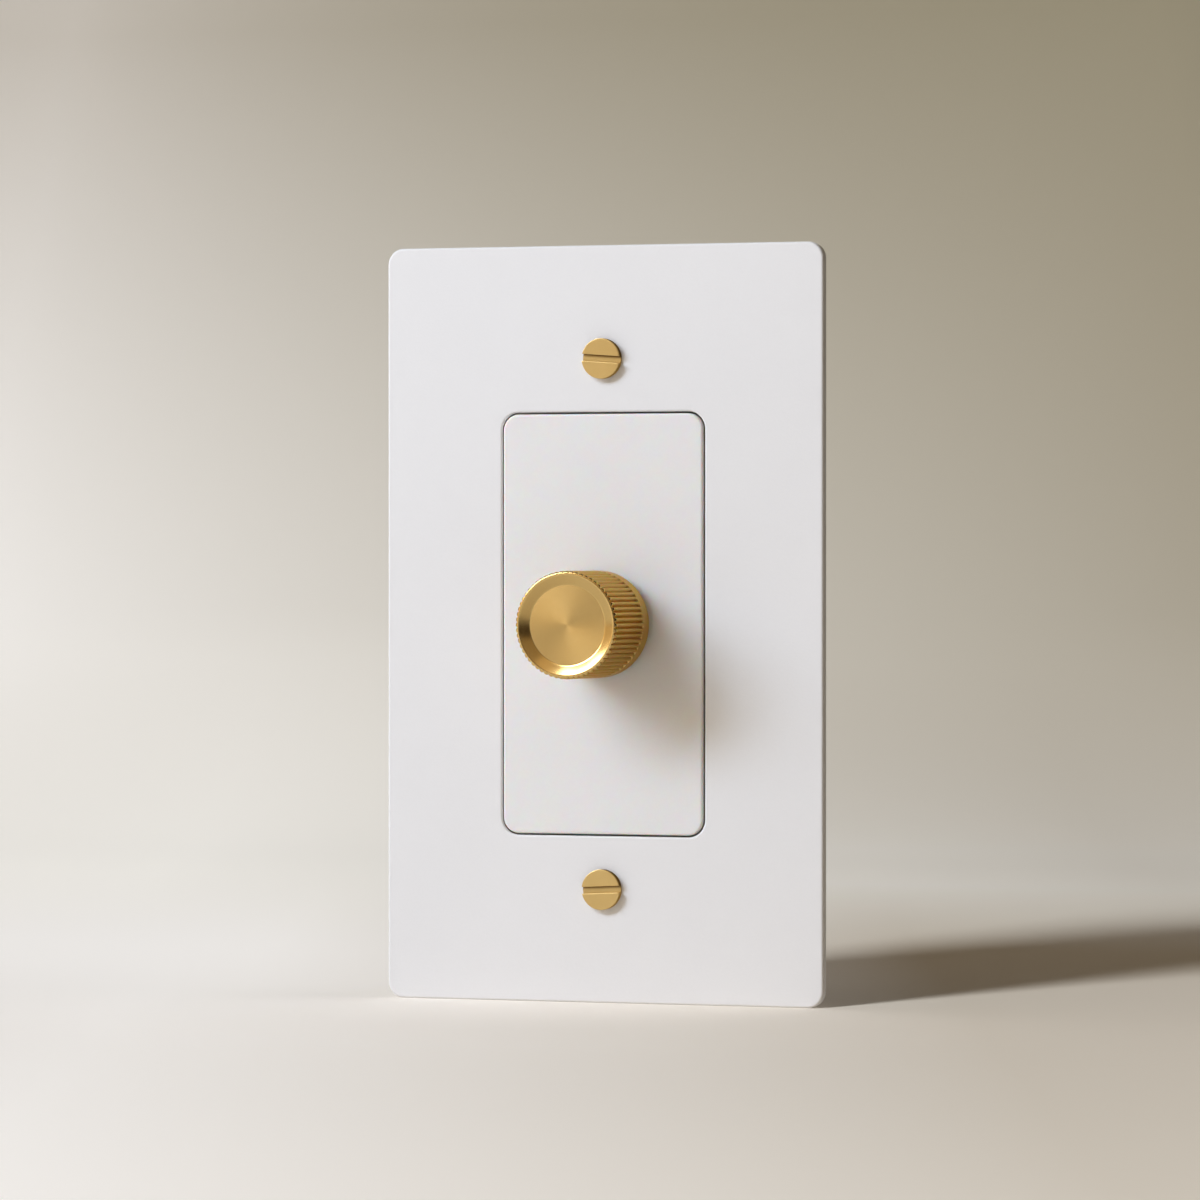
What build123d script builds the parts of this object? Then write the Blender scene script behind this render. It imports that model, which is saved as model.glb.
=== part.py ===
from build123d import *
from math import cos, radians, sin
import os

os.makedirs("parts", exist_ok=True)

# Rotary dimmer switch for a single wall box, in millimetres.
# X runs to the right, Y into the wall and Z up. The origin is midway between the two plate
# screws, on the plane where the ears of the wall box meet the yoke.

# Wall plate, a flat coated sheet
plate_width = 73.0
plate_height = 119.0
plate_thickness = 1.5
plate_corner_radius = 2.6
plate_edge_round = 0.35

# Insert, a moulded cover that fills the opening of the plate
insert_width = 33.4
insert_height = 66.0
insert_corner_radius = 2.5
insert_gap = 0.3
insert_proud = 0.2
insert_front_wall = 1.8
insert_side_wall = 1.6
insert_edge_round = 0.35
leg_margin = 0.6
leg_clearance = 0.25
hook_reach = 0.8
hook_length = 1.9

# Plate screws, cut for the threaded ears of a wall box
box_screw_spacing = 83.34
screw_thread_diameter = 3.5
screw_neck_diameter = 2.8
screw_head_diameter = 6.35
screw_head_height = 1.1
screw_head_round = 0.25
screw_slot_width = 1.05
screw_slot_depth = 0.7
screw_reach = 22.0
screw_point_chamfer = 0.5
screw_hole_clearance = 0.25
top_slot_tilt = -3.9
bottom_slot_tilt = 3.0

# Yoke, a strap folded from sheet
yoke_sheet = 1.5
yoke_setback = 5.0
yoke_end_width = 34.0
yoke_end_reach = 7.3
yoke_margin = 1.0
yoke_ramp = 2.6
yoke_bend_inside = 0.7
yoke_corner_radius = 2.0
yoke_slot_length = 6.5
ear_width = 8.0
ear_reach = 10.0

# Knob, turned from bar with a straight knurl
knob_diameter = 16.8
knob_length = 14.8
knob_rest_gap = 0.3
knob_rib_count = 60
knob_groove_depth = 0.3
knob_groove_width = 0.5
knob_back_ring = 2.8
knob_front_bevel = 0.45
knob_back_chamfer = 0.3
knob_rim_width = 0.6
knob_dish_slope = 1.6
knob_dish_depth = 0.75
knob_cap = 2.2
knob_bore_clearance = 0.04
grub_diameter = 3.0
grub_length = 5.2
grub_setback = 5.5
grub_clearance = 0.05
grub_socket = 1.5
grub_socket_depth = 1.8

# Push travel and control shaft
push_travel = 1.0
shaft_diameter = 6.0
shaft_flat_depth = 1.5
shaft_tip_gap = 0.3
shaft_tip_chamfer = 0.4
shaft_clearance = 0.05
shaft_tail_diameter = 3.4
shaft_shoulder_gap = 0.3
insert_shaft_clearance = 0.35
clip_diameter = 9.0
clip_thickness = 0.6
clip_groove_depth = 0.7
clip_float = 0.05
clip_fit = 0.03
clip_mouth = 3.6

# Control bush, lock washer and nut
bush_diameter = 9.0
bush_clearance = 0.1
bush_end = 0.8
bush_chamfer = 0.4
thread_fit = 0.03
flange_size = 16.8
flange_corner_radius = 2.0
flange_thickness = 1.2
washer_diameter = 13.0
washer_thickness = 0.8
washer_teeth = 12
washer_tooth_depth = 0.8
washer_tooth_gap = 1.0
nut_flats = 12.0
nut_thickness = 2.0

# Control case, rotor, wiper and resistance wafer
end_float = 0.1
case_radius = 8.2
case_wall = 1.2
case_floor = 1.3
stop_clearance = 0.3
stop_lug_width = 3.4
rotor_radius = 5.5
rotor_thickness = 2.2
rotor_gap = 0.4
rotor_tab_width = 2.4
wiper_sheet = 0.25
wiper_lift = 0.6
wiper_track_radius = 4.4
wiper_band = 1.6
wiper_foot_diameter = 1.0
wiper_foot_gap = 0.05
wafer_thickness = 0.8
wafer_clearance = 0.15
tongue_width = 8.0
tongue_reach = 3.0
pin_pitch = 2.5
pin_diameter = 0.9
pin_head_diameter = 1.7
pin_head_height = 0.35
pin_fit = 0.04
pin_tail = 1.2

# Circuit board and what is soldered to it
board_width = 33.0
board_thickness = 1.6
board_hole_clearance = 0.2
capacitor_width = 18.0
capacitor_height = 8.0
capacitor_depth = 8.6
capacitor_edge_round = 0.6
capacitor_pin_pitch = 15.0
choke_outer_diameter = 12.0
choke_inner_diameter = 6.5
choke_core_height = 5.5
choke_wire = 1.0
choke_gap_angle = 40.0
choke_lead_angle = 25.0
choke_fit = 0.05
fuse_diameter = 4.6
fuse_length = 15.0
fuse_cap_length = 3.0
fuse_cap_step = 0.25
fuse_lead_diameter = 0.8
fuse_lead_reach = 2.0
fuse_lift = 0.3
chip_width = 4.0
chip_length = 5.0
chip_height = 1.5
chip_lead_width = 0.45
chip_lead_reach = 1.0
chip_lead_height = 0.7
chip_lead_sheet = 0.25
chip_lead_pitch = 1.27
chip_leads_per_side = 4
parts_gap = 1.6

# Power transistor on the back of the yoke
pad_thickness = 0.3
pad_margin = 0.8
transistor_width = 10.0
transistor_body_length = 9.0
transistor_body_depth = 4.5
transistor_tab_length = 6.5
transistor_tab_thickness = 1.3
transistor_lead_width = 0.8
transistor_lead_sheet = 0.5
transistor_lead_pitch = 2.54
transistor_clearance = 1.2
heat_screw_diameter = 3.0
heat_screw_head_diameter = 5.5
heat_screw_head_height = 2.0
heat_screw_clearance = 0.2
heat_screw_end = 1.0
small_slot_width = 0.8
small_slot_depth = 0.6
heat_nut_flats = 5.5
heat_nut_thickness = 2.4

# Push switch behind the board
switch_size = 13.0
switch_wall = 1.0
switch_front_wall = 1.3
switch_base_thickness = 1.4
switch_fit = 0.05
plunger_diameter = 4.0
plunger_clearance = 0.05
plunger_nose = 0.6
plunger_flange_diameter = 7.4
plunger_flange_thickness = 1.0
plunger_post_diameter = 2.6
plunger_post_length = 2.2
bridge_sheet = 0.4
bridge_length = 8.6
bridge_width = 3.0
contact_sheet = 0.5
contact_width = 2.4
contact_overlap = 1.1
contact_gap = 0.05
spring_diameter = 4.4
spring_wire = 0.4
spring_length = 5.2
spring_turns = 4.5

# Back housing, its screws and the wiring terminals
housing_wall = 1.8
housing_air = 0.7
housing_end_gap = 0.3
housing_corner_radius = 4.0
housing_back_round = 1.2
boss_radius = 3.0
boss_inset = 4.5
housing_screw_diameter = 3.0
housing_screw_head_diameter = 5.6
housing_screw_length = 10.0
housing_screw_clearance = 0.1
pocket_depth = 3.2
pocket_wall = 1.6
pocket_width = 10.5
pocket_clearance = 0.7
post_diameter = 4.5
post_inset = 2.5
strip_sheet = 0.9
strip_width = 9.0
strip_length = 10.5
strip_tab_width = 4.0
strip_board_overlap = 3.0
strip_clearance = 0.15
terminal_pitch = 22.0
terminal_screw_diameter = 3.5
terminal_screw_length = 6.0
terminal_head_diameter = 7.6
terminal_head_height = 2.2
terminal_slot_width = 1.1
terminal_slot_depth = 1.0
earth_screw_length = 5.0
earth_head_flats = 7.0
earth_head_height = 2.6

# Depths along Y, from the front of the switch to its back
plate_back_y = -yoke_sheet
plate_front_y = plate_back_y - plate_thickness
screw_head_y = plate_front_y - screw_head_height
insert_front_y = plate_front_y - insert_proud
yoke_back_y = yoke_setback
yoke_front_y = yoke_back_y - yoke_sheet
knob_back_y = insert_front_y - knob_rest_gap - push_travel
knob_front_y = knob_back_y - knob_length
dish_floor_y = knob_front_y + knob_dish_depth
knob_bore_end_y = dish_floor_y + knob_cap
shaft_tip_y = knob_bore_end_y + shaft_tip_gap
grub_y = knob_back_y - grub_setback
washer_front_y = yoke_front_y - washer_thickness
nut_front_y = washer_front_y - nut_thickness
bush_front_y = nut_front_y - bush_end
flange_back_y = yoke_back_y + flange_thickness
clip_front_y = flange_back_y + end_float
clip_back_y = clip_front_y + clip_thickness
rotor_front_y = clip_back_y + push_travel + rotor_gap
rotor_back_y = rotor_front_y + rotor_thickness
wiper_back_y = rotor_back_y + wiper_sheet
wafer_front_y = wiper_back_y + wiper_lift
wafer_back_y = wafer_front_y + wafer_thickness
board_front_y = wafer_back_y + case_floor
board_back_y = board_front_y + board_thickness
plunger_front_y = board_front_y + plunger_nose
switch_inside_y = board_back_y + switch_front_wall
plunger_flange_y = switch_inside_y + end_float
bridge_front_y = plunger_flange_y + plunger_flange_thickness
bridge_back_y = bridge_front_y + bridge_sheet
contact_face_y = bridge_back_y + push_travel + contact_gap
spring_seat_y = bridge_back_y + spring_length
switch_back_y = spring_seat_y + switch_base_thickness
capacitor_back_y = board_back_y + capacitor_depth
core_front_y = board_back_y + choke_wire
core_back_y = core_front_y + choke_core_height
choke_back_y = core_back_y + choke_wire
housing_floor_y = max(switch_back_y, capacitor_back_y, choke_back_y) + housing_air
housing_back_y = housing_floor_y + housing_wall

# Radii and half sizes that several pieces share
screw_z = box_screw_spacing / 2
screw_hole_radius = screw_thread_diameter / 2 + screw_hole_clearance
knob_radius = knob_diameter / 2
shaft_radius = shaft_diameter / 2
tail_radius = shaft_tail_diameter / 2
bush_radius = bush_diameter / 2
flat_z = -(shaft_radius - shaft_flat_depth)
cavity_radius = case_radius - case_wall
lug_radius = rotor_radius + stop_clearance
pin_z = -(case_radius + tongue_reach / 2)
opening_width = insert_width + 2 * insert_gap
opening_height = insert_height + 2 * insert_gap
strip_x = board_width / 2 + pocket_clearance + pocket_wall
housing_width = 2 * (strip_x + pocket_depth)
boss_x = housing_width / 2 - boss_inset
housing_height = insert_height - 2 * housing_end_gap
boss_z = housing_height / 2 - boss_inset
board_height = 2 * (boss_z - boss_radius - board_hole_clearance)
yoke_width = housing_width + 2 * yoke_margin
yoke_bend = yoke_sheet + yoke_bend_inside
joggle_z = insert_height / 2 + yoke_bend
yoke_length = box_screw_spacing + 2 * yoke_end_reach
leg_out_x = insert_width / 2
leg_in_x = leg_out_x - insert_side_wall
leg_end_y = yoke_back_y + hook_length
leg_low_z = terminal_pitch / 2 + pocket_width / 2 + pocket_wall + leg_margin
leg_width = boss_z - boss_radius - leg_margin - leg_low_z
leg_z = leg_low_z + leg_width / 2
ear_x = -(yoke_end_width / 2 + yoke_bend)
ear_z = -screw_z
earth_y = ear_reach - ear_width / 2
head_drop = (housing_screw_head_diameter - housing_screw_diameter) / 2
lead_z = case_radius + parts_gap
transistor_top_z = housing_height / 2 - housing_wall - transistor_clearance
tab_z = transistor_top_z - transistor_tab_length
transistor_z = tab_z - transistor_body_length
heat_screw_z = (tab_z + transistor_top_z) / 2
transistor_front_y = yoke_back_y + pad_thickness
lead_y = (2 * transistor_front_y + transistor_body_depth) / 2
capacitor_z = lead_z + parts_gap + capacitor_height / 2
choke_shell_radius = choke_outer_diameter / 2 + choke_wire
choke_z = pin_z - pin_head_diameter / 2 - parts_gap - choke_shell_radius
fuse_z = -(case_radius + tongue_reach + parts_gap + fuse_diameter / 2)
chip_x = -(case_radius + parts_gap + chip_width / 2)
contact_x = switch_size / 2 - switch_wall - switch_fit
terminal_screw_y = board_back_y + strip_length / 2
terminals = ((1, terminal_pitch / 2), (1, -terminal_pitch / 2), (-1, 0))
boss_places = [(x, z) for x in (boss_x, -boss_x) for z in (boss_z, -boss_z)]
pin_places = [(x, pin_z) for x in (-pin_pitch, 0, pin_pitch)]
lead_places = [(x, lead_z) for x in (-transistor_lead_pitch, 0, transistor_lead_pitch)]


def across(y):
    """Plane across the switch at depth y, seen from the front, so that extrusions run forwards."""
    return Plane.XZ.offset(-y)


# Wall plate: one sheet with the opening for the insert and two screw holes
with BuildPart() as wall_plate:
    with BuildSketch(across(plate_back_y)):
        RectangleRounded(plate_width, plate_height, plate_corner_radius)
        RectangleRounded(
            opening_width, opening_height, insert_corner_radius + insert_gap, mode=Mode.SUBTRACT
        )
        with Locations((0, screw_z), (0, -screw_z)):
            Circle(screw_hole_radius, mode=Mode.SUBTRACT)
    extrude(amount=plate_thickness)
    plate_front = faces().sort_by(Axis.Y)[0]
    opening_wire = plate_front.inner_wires().sort_by(SortBy.LENGTH)[-1]
    fillet(plate_front.outer_wire().edges() + opening_wire.edges(), plate_edge_round)
wall_plate.part.label = "wall_plate"
export_step(wall_plate.part, "parts/wall_plate.step")

# Insert: a hollow cover that stands on the yoke, with four hooked legs through the slots there
with BuildPart() as face_insert:
    with BuildSketch(across(yoke_front_y)):
        RectangleRounded(insert_width, insert_height, insert_corner_radius)
    extrude(amount=yoke_front_y - insert_front_y)
    fillet(faces().sort_by(Axis.Y)[0].edges(), insert_edge_round)
    with BuildSketch(across(yoke_front_y)):
        RectangleRounded(
            insert_width - 2 * insert_side_wall,
            insert_height - 2 * insert_side_wall,
            max(insert_corner_radius - insert_side_wall, insert_edge_round),
        )
    extrude(amount=yoke_front_y - insert_front_y - insert_front_wall, mode=Mode.SUBTRACT)
    with BuildSketch(across(yoke_front_y)):
        Circle(shaft_radius + insert_shaft_clearance)
    extrude(amount=yoke_front_y - insert_front_y, mode=Mode.SUBTRACT)
    for place_z in (leg_z, -leg_z):
        with BuildSketch(Plane.XY.offset(place_z - leg_width / 2)):
            with BuildLine():
                Polyline(
                    (leg_in_x, yoke_front_y),
                    (leg_out_x, yoke_front_y),
                    (leg_out_x, yoke_back_y + end_float),
                    (leg_out_x + hook_reach, yoke_back_y + end_float),
                    (leg_out_x - hook_reach / 2, leg_end_y),
                    (leg_in_x, leg_end_y),
                    close=True,
                )
            make_face()
            mirror(about=Plane.YZ)
        extrude(amount=leg_width)
face_insert.part.label = "face_insert"
export_step(face_insert.part, "parts/face_insert.step")

# Plate screws: slotted heads, a thin neck through plate and yoke, then the thread for the box ears
with BuildPart() as plate_screws:
    for place_z, slot_tilt in ((screw_z, top_slot_tilt), (-screw_z, bottom_slot_tilt)):
        with BuildSketch(Plane.XY.offset(place_z)):
            with BuildLine():
                Polyline(
                    (0, screw_head_y),
                    (screw_head_diameter / 2 - screw_head_round, screw_head_y),
                    (screw_head_diameter / 2, screw_head_y + screw_head_round),
                    (screw_head_diameter / 2, plate_front_y),
                    (screw_neck_diameter / 2, plate_front_y),
                    (screw_neck_diameter / 2, 0),
                    (screw_thread_diameter / 2, 0),
                    (screw_thread_diameter / 2, screw_reach - screw_point_chamfer),
                    (screw_thread_diameter / 2 - screw_point_chamfer, screw_reach),
                    (0, screw_reach),
                    close=True,
                )
            make_face()
        revolve(axis=Axis((0, 0, place_z), (0, 1, 0)))
        with BuildSketch(across(screw_head_y + screw_slot_depth)):
            with Locations((0, place_z)):
                Rectangle(2 * screw_head_diameter, screw_slot_width, rotation=slot_tilt)
        extrude(amount=screw_slot_depth, mode=Mode.SUBTRACT)
plate_screws.part.label = "plate_screws"
export_step(plate_screws.part, "parts/plate_screws.step")

# Knob: turned outline, grooves of the knurl, shaft bore with a flat, and the grub screw hole
with BuildPart() as knob:
    with BuildSketch(Plane.XY):
        with BuildLine():
            Polyline(
                (0, knob_back_y),
                (knob_radius - knob_back_chamfer, knob_back_y),
                (knob_radius, knob_back_y - knob_back_chamfer),
                (knob_radius, knob_front_y + knob_front_bevel),
                (knob_radius - knob_front_bevel, knob_front_y),
                (knob_radius - knob_rim_width, knob_front_y),
                (knob_radius - knob_rim_width - knob_dish_slope, dish_floor_y),
                (0, dish_floor_y),
                close=True,
            )
        make_face()
    revolve(axis=Axis.Y)
    with BuildSketch(across(knob_back_y - knob_back_ring)):
        with PolarLocations(knob_radius, knob_rib_count):
            Polygon(
                (-knob_groove_depth, 0),
                (knob_groove_depth, -knob_groove_width),
                (knob_groove_depth, knob_groove_width),
                align=None,
            )
    extrude(amount=knob_length - knob_back_ring, mode=Mode.SUBTRACT)
    with BuildSketch(across(knob_back_y)):
        Circle(shaft_radius + knob_bore_clearance)
        with Locations((0, flat_z - knob_bore_clearance)):
            Rectangle(
                2 * shaft_diameter, shaft_diameter, align=(Align.CENTER, Align.MAX), mode=Mode.SUBTRACT
            )
    extrude(amount=knob_back_y - knob_bore_end_y, mode=Mode.SUBTRACT)
    with BuildSketch(Plane.XY.offset(-knob_diameter)):
        with Locations((0, grub_y)):
            Circle(grub_diameter / 2 + grub_clearance)
    extrude(amount=knob_diameter, mode=Mode.SUBTRACT)
knob.part.label = "knob"
export_step(knob.part, "parts/knob.step")

# Grub screw: bears on the flat of the shaft from below
with BuildPart() as knob_grub_screw:
    with BuildSketch(Plane.XY.offset(flat_z)):
        with Locations((0, grub_y)):
            Circle(grub_diameter / 2)
    extrude(amount=-grub_length)
    with BuildSketch(Plane.XY.offset(flat_z - grub_length)):
        with Locations((0, grub_y)):
            RegularPolygon(grub_socket / 2, 6, major_radius=False)
    extrude(amount=grub_socket_depth, mode=Mode.SUBTRACT)
knob_grub_screw.part.label = "knob_grub_screw"
export_step(knob_grub_screw.part, "parts/knob_grub_screw.step")

# Shaft: flats for the knob and the rotor, a groove for the clip and a thin tail for the plunger
shaft_groove_radius = shaft_radius - clip_groove_depth
shaft_shoulder_y = rotor_back_y + shaft_shoulder_gap
with BuildPart() as control_shaft:
    with BuildSketch(Plane.XY):
        with BuildLine():
            Polyline(
                (0, shaft_tip_y),
                (shaft_radius - shaft_tip_chamfer, shaft_tip_y),
                (shaft_radius, shaft_tip_y + shaft_tip_chamfer),
                (shaft_radius, clip_front_y - clip_float),
                (shaft_groove_radius, clip_front_y - clip_float),
                (shaft_groove_radius, clip_back_y + clip_float),
                (shaft_radius, clip_back_y + clip_float),
                (shaft_radius, shaft_shoulder_y),
                (tail_radius, shaft_shoulder_y),
                (tail_radius, plunger_front_y),
                (0, plunger_front_y),
                close=True,
            )
        make_face()
    revolve(axis=Axis.Y)
    knob_flat = (shaft_tip_y, knob_back_y)
    rotor_flat = (clip_back_y + clip_float, shaft_shoulder_y)
    for flat_start_y, flat_end_y in (knob_flat, rotor_flat):
        with BuildSketch(across(flat_end_y)):
            with Locations((0, flat_z)):
                Rectangle(shaft_diameter, shaft_diameter, align=(Align.CENTER, Align.MAX))
        extrude(amount=flat_end_y - flat_start_y, mode=Mode.SUBTRACT)
control_shaft.part.label = "control_shaft"
export_step(control_shaft.part, "parts/control_shaft.step")

# Clip: an open ring in the groove of the shaft, behind the flange of the bush
with BuildPart() as shaft_clip:
    with BuildSketch(across(clip_back_y)):
        Circle(clip_diameter / 2)
        Circle(shaft_groove_radius + clip_fit, mode=Mode.SUBTRACT)
        Rectangle(clip_mouth, clip_diameter, align=(Align.CENTER, Align.MIN), mode=Mode.SUBTRACT)
    extrude(amount=clip_thickness)
shaft_clip.part.label = "shaft_clip"
export_step(shaft_clip.part, "parts/shaft_clip.step")

# Yoke: strap with set back middle, screw slots, control hole, insert slots and an earthing ear
with BuildPart() as mounting_yoke:
    with BuildSketch(Plane.YZ):
        with BuildLine():
            FilletPolyline(
                (plate_back_y, yoke_length / 2),
                (plate_back_y, joggle_z + yoke_ramp),
                (yoke_front_y, joggle_z),
                (yoke_front_y, -joggle_z),
                (plate_back_y, -joggle_z - yoke_ramp),
                (plate_back_y, -yoke_length / 2),
                radius=yoke_bend,
            )
            offset(amount=yoke_sheet, side=Side.LEFT)
        make_face()
    extrude(amount=yoke_width / 2, both=True)
    with BuildSketch(across(yoke_back_y)):
        Rectangle(yoke_end_width, yoke_length)
        Rectangle(yoke_width, 2 * joggle_z)
        fillet(vertices(), yoke_corner_radius)
    extrude(amount=yoke_back_y - plate_back_y, mode=Mode.INTERSECT)
    with BuildSketch(Plane.XY.offset(ear_z - ear_width / 2)):
        with BuildLine():
            FilletPolyline(
                (-screw_hole_radius - yoke_slot_length, plate_back_y),
                (ear_x, plate_back_y),
                (ear_x, ear_reach),
                radius=yoke_bend,
            )
            offset(amount=yoke_sheet, side=Side.RIGHT)
        make_face()
    extrude(amount=ear_width)
    with BuildSketch(across(yoke_back_y)):
        Circle(bush_radius + bush_clearance)
        with Locations((0, screw_z), (0, -screw_z)):
            SlotOverall(yoke_slot_length, 2 * screw_hole_radius)
        with Locations((0, heat_screw_z)):
            Circle(heat_screw_diameter / 2 + heat_screw_clearance)
        with GridLocations(leg_in_x + leg_out_x, 2 * leg_z, 2, 2):
            Rectangle(insert_side_wall + 2 * leg_clearance, leg_width + 2 * leg_clearance)
    extrude(amount=yoke_back_y - plate_back_y, mode=Mode.SUBTRACT)
    with Locations(across(yoke_front_y)):
        with Locations(*boss_places):
            CounterSinkHole(
                housing_screw_diameter / 2 + housing_screw_clearance,
                housing_screw_head_diameter / 2 + housing_screw_clearance,
                counter_sink_angle=90,
            )
    with BuildSketch(Plane.YZ.offset(ear_x)):
        with Locations((earth_y, ear_z)):
            Circle(terminal_screw_diameter / 2 + thread_fit)
    extrude(amount=yoke_sheet, mode=Mode.SUBTRACT)
mounting_yoke.part.label = "mounting_yoke"
export_step(mounting_yoke.part, "parts/mounting_yoke.step")

# Bush: threaded barrel through the yoke, on a square flange behind it
with BuildPart() as control_bush:
    with BuildSketch(across(flange_back_y)):
        RectangleRounded(flange_size, flange_size, flange_corner_radius)
    extrude(amount=flange_thickness)
    with BuildSketch(across(yoke_back_y)):
        Circle(bush_radius)
    extrude(amount=yoke_back_y - bush_front_y)
    chamfer(faces().sort_by(Axis.Y)[0].edges(), bush_chamfer)
    with BuildSketch(across(flange_back_y)):
        Circle(shaft_radius + shaft_clearance)
    extrude(amount=flange_back_y - bush_front_y, mode=Mode.SUBTRACT)
control_bush.part.label = "control_bush"
export_step(control_bush.part, "parts/control_bush.step")

# Lock washer: a thin ring with teeth on its inner edge
with BuildPart() as lock_washer:
    with BuildSketch(across(yoke_front_y)):
        Circle(washer_diameter / 2)
        Circle(bush_radius + bush_clearance, mode=Mode.SUBTRACT)
        with PolarLocations(bush_radius, washer_teeth):
            Rectangle(2 * washer_tooth_depth, washer_tooth_gap, mode=Mode.SUBTRACT)
    extrude(amount=washer_thickness)
lock_washer.part.label = "lock_washer"
export_step(lock_washer.part, "parts/lock_washer.step")

# Nut: clamps the bush to the yoke
with BuildPart() as bush_nut:
    with BuildSketch(across(washer_front_y)):
        RegularPolygon(nut_flats / 2, 6, major_radius=False)
        Circle(bush_radius + thread_fit, mode=Mode.SUBTRACT)
    extrude(amount=nut_thickness)
bush_nut.part.label = "bush_nut"
export_step(bush_nut.part, "parts/bush_nut.step")

# Control case: a round cup closed by the flange, with a stop lug and a notch for the wafer tongue
with BuildPart() as control_case:
    with BuildSketch(across(board_front_y)):
        Circle(case_radius)
    extrude(amount=board_front_y - flange_back_y)
    with BuildSketch(across(wafer_back_y)):
        Circle(cavity_radius)
        with Locations((0, lug_radius)):
            Rectangle(stop_lug_width, case_radius, align=(Align.CENTER, Align.MIN), mode=Mode.SUBTRACT)
        Rectangle(tongue_width + 2 * wafer_clearance, 2 * case_radius, align=(Align.CENTER, Align.MAX))
    extrude(amount=wafer_back_y - flange_back_y, mode=Mode.SUBTRACT)
    with BuildSketch(across(board_front_y)):
        Circle(tail_radius + shaft_shoulder_gap)
    extrude(amount=case_floor, mode=Mode.SUBTRACT)
control_case.part.label = "control_case"
export_step(control_case.part, "parts/control_case.step")

# Resistance wafer: a disc with the track, keyed by the lug, and a tongue for the pins
with BuildPart() as resistance_wafer:
    with BuildSketch(across(wafer_back_y)):
        Circle(cavity_radius - wafer_clearance)
        with Locations((0, lug_radius - wafer_clearance)):
            Rectangle(
                stop_lug_width + 2 * wafer_clearance,
                case_radius,
                align=(Align.CENTER, Align.MIN),
                mode=Mode.SUBTRACT,
            )
        Rectangle(tongue_width, case_radius + tongue_reach, align=(Align.CENTER, Align.MAX))
        Circle(shaft_radius + shaft_shoulder_gap, mode=Mode.SUBTRACT)
        with Locations(*pin_places):
            Circle(pin_diameter / 2 + pin_fit, mode=Mode.SUBTRACT)
    extrude(amount=wafer_thickness)
resistance_wafer.part.label = "resistance_wafer"
export_step(resistance_wafer.part, "parts/resistance_wafer.step")

# Control pins: riveted to the tongue of the wafer and soldered into the board
with BuildPart() as control_pins:
    with BuildSketch(across(board_back_y + pin_tail)):
        with Locations(*pin_places):
            Circle(pin_diameter / 2)
    extrude(amount=board_back_y + pin_tail - wafer_front_y)
    with BuildSketch(across(wafer_front_y)):
        with Locations(*pin_places):
            Circle(pin_head_diameter / 2)
    extrude(amount=pin_head_height)
control_pins.part.label = "control_pins"
export_step(control_pins.part, "parts/control_pins.step")

# Rotor: driven by the flat of the shaft, which slides through it, and stopped by the lug
with BuildPart() as wiper_rotor:
    with BuildSketch(across(rotor_back_y)):
        Circle(rotor_radius)
        Rectangle(rotor_tab_width, cavity_radius - stop_clearance, align=(Align.CENTER, Align.MAX))
    extrude(amount=rotor_thickness)
    with BuildSketch(across(rotor_back_y)):
        Circle(shaft_radius + shaft_clearance)
        with Locations((0, flat_z - shaft_clearance)):
            Rectangle(
                2 * shaft_diameter, shaft_diameter, align=(Align.CENTER, Align.MAX), mode=Mode.SUBTRACT
            )
    extrude(amount=rotor_thickness, mode=Mode.SUBTRACT)
wiper_rotor.part.label = "wiper_rotor"
export_step(wiper_rotor.part, "parts/wiper_rotor.step")

# Wiper: a flat spring ring on the rotor with two feet that run on the track
with BuildPart() as wiper_contact:
    with BuildSketch(across(wiper_back_y)):
        Circle(wiper_track_radius + wiper_band / 2)
        Circle(wiper_track_radius - wiper_band / 2, mode=Mode.SUBTRACT)
    extrude(amount=wiper_sheet)
    with BuildSketch(across(wafer_front_y - wiper_foot_gap)):
        with Locations((wiper_track_radius, 0), (-wiper_track_radius, 0)):
            Circle(wiper_foot_diameter / 2)
    extrude(amount=wiper_lift - wiper_foot_gap)
wiper_contact.part.label = "wiper_contact"
export_step(wiper_contact.part, "parts/wiper_contact.step")

# Circuit board: stands on posts of the housing, behind the control
contact_slot = (contact_sheet + 2 * switch_fit, contact_width + 2 * board_hole_clearance)
contact_places = [(side * (contact_x - contact_sheet / 2), 0) for side in (1, -1)]
capacitor_places = [(side * capacitor_pin_pitch / 2, capacitor_z) for side in (1, -1)]
fuse_pin_x = fuse_length / 2 + fuse_lead_reach
fuse_places = [(side * fuse_pin_x, fuse_z) for side in (1, -1)]
choke_ring_radius = (choke_outer_diameter + choke_inner_diameter) / 4
choke_places = [
    (-choke_ring_radius * sin(radians(turn)), choke_z - choke_ring_radius * cos(radians(turn)))
    for turn in (choke_lead_angle, -choke_gap_angle - choke_lead_angle)
]
with BuildPart() as circuit_board:
    with BuildSketch(across(board_back_y)):
        RectangleRounded(board_width, board_height, board_hole_clearance)
        Circle(plunger_diameter / 2 + board_hole_clearance, mode=Mode.SUBTRACT)
        with Locations(*pin_places):
            Circle(pin_diameter / 2 + board_hole_clearance, mode=Mode.SUBTRACT)
        with Locations(*lead_places):
            Circle(transistor_lead_width / 2 + board_hole_clearance, mode=Mode.SUBTRACT)
        with Locations(*capacitor_places, *fuse_places):
            Circle(fuse_lead_diameter / 2 + board_hole_clearance, mode=Mode.SUBTRACT)
        with Locations(*choke_places):
            Circle(choke_wire / 2 + board_hole_clearance, mode=Mode.SUBTRACT)
        with Locations(*contact_places):
            Rectangle(*contact_slot, mode=Mode.SUBTRACT)
    extrude(amount=board_thickness)
circuit_board.part.label = "circuit_board"
export_step(circuit_board.part, "parts/circuit_board.step")

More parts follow.
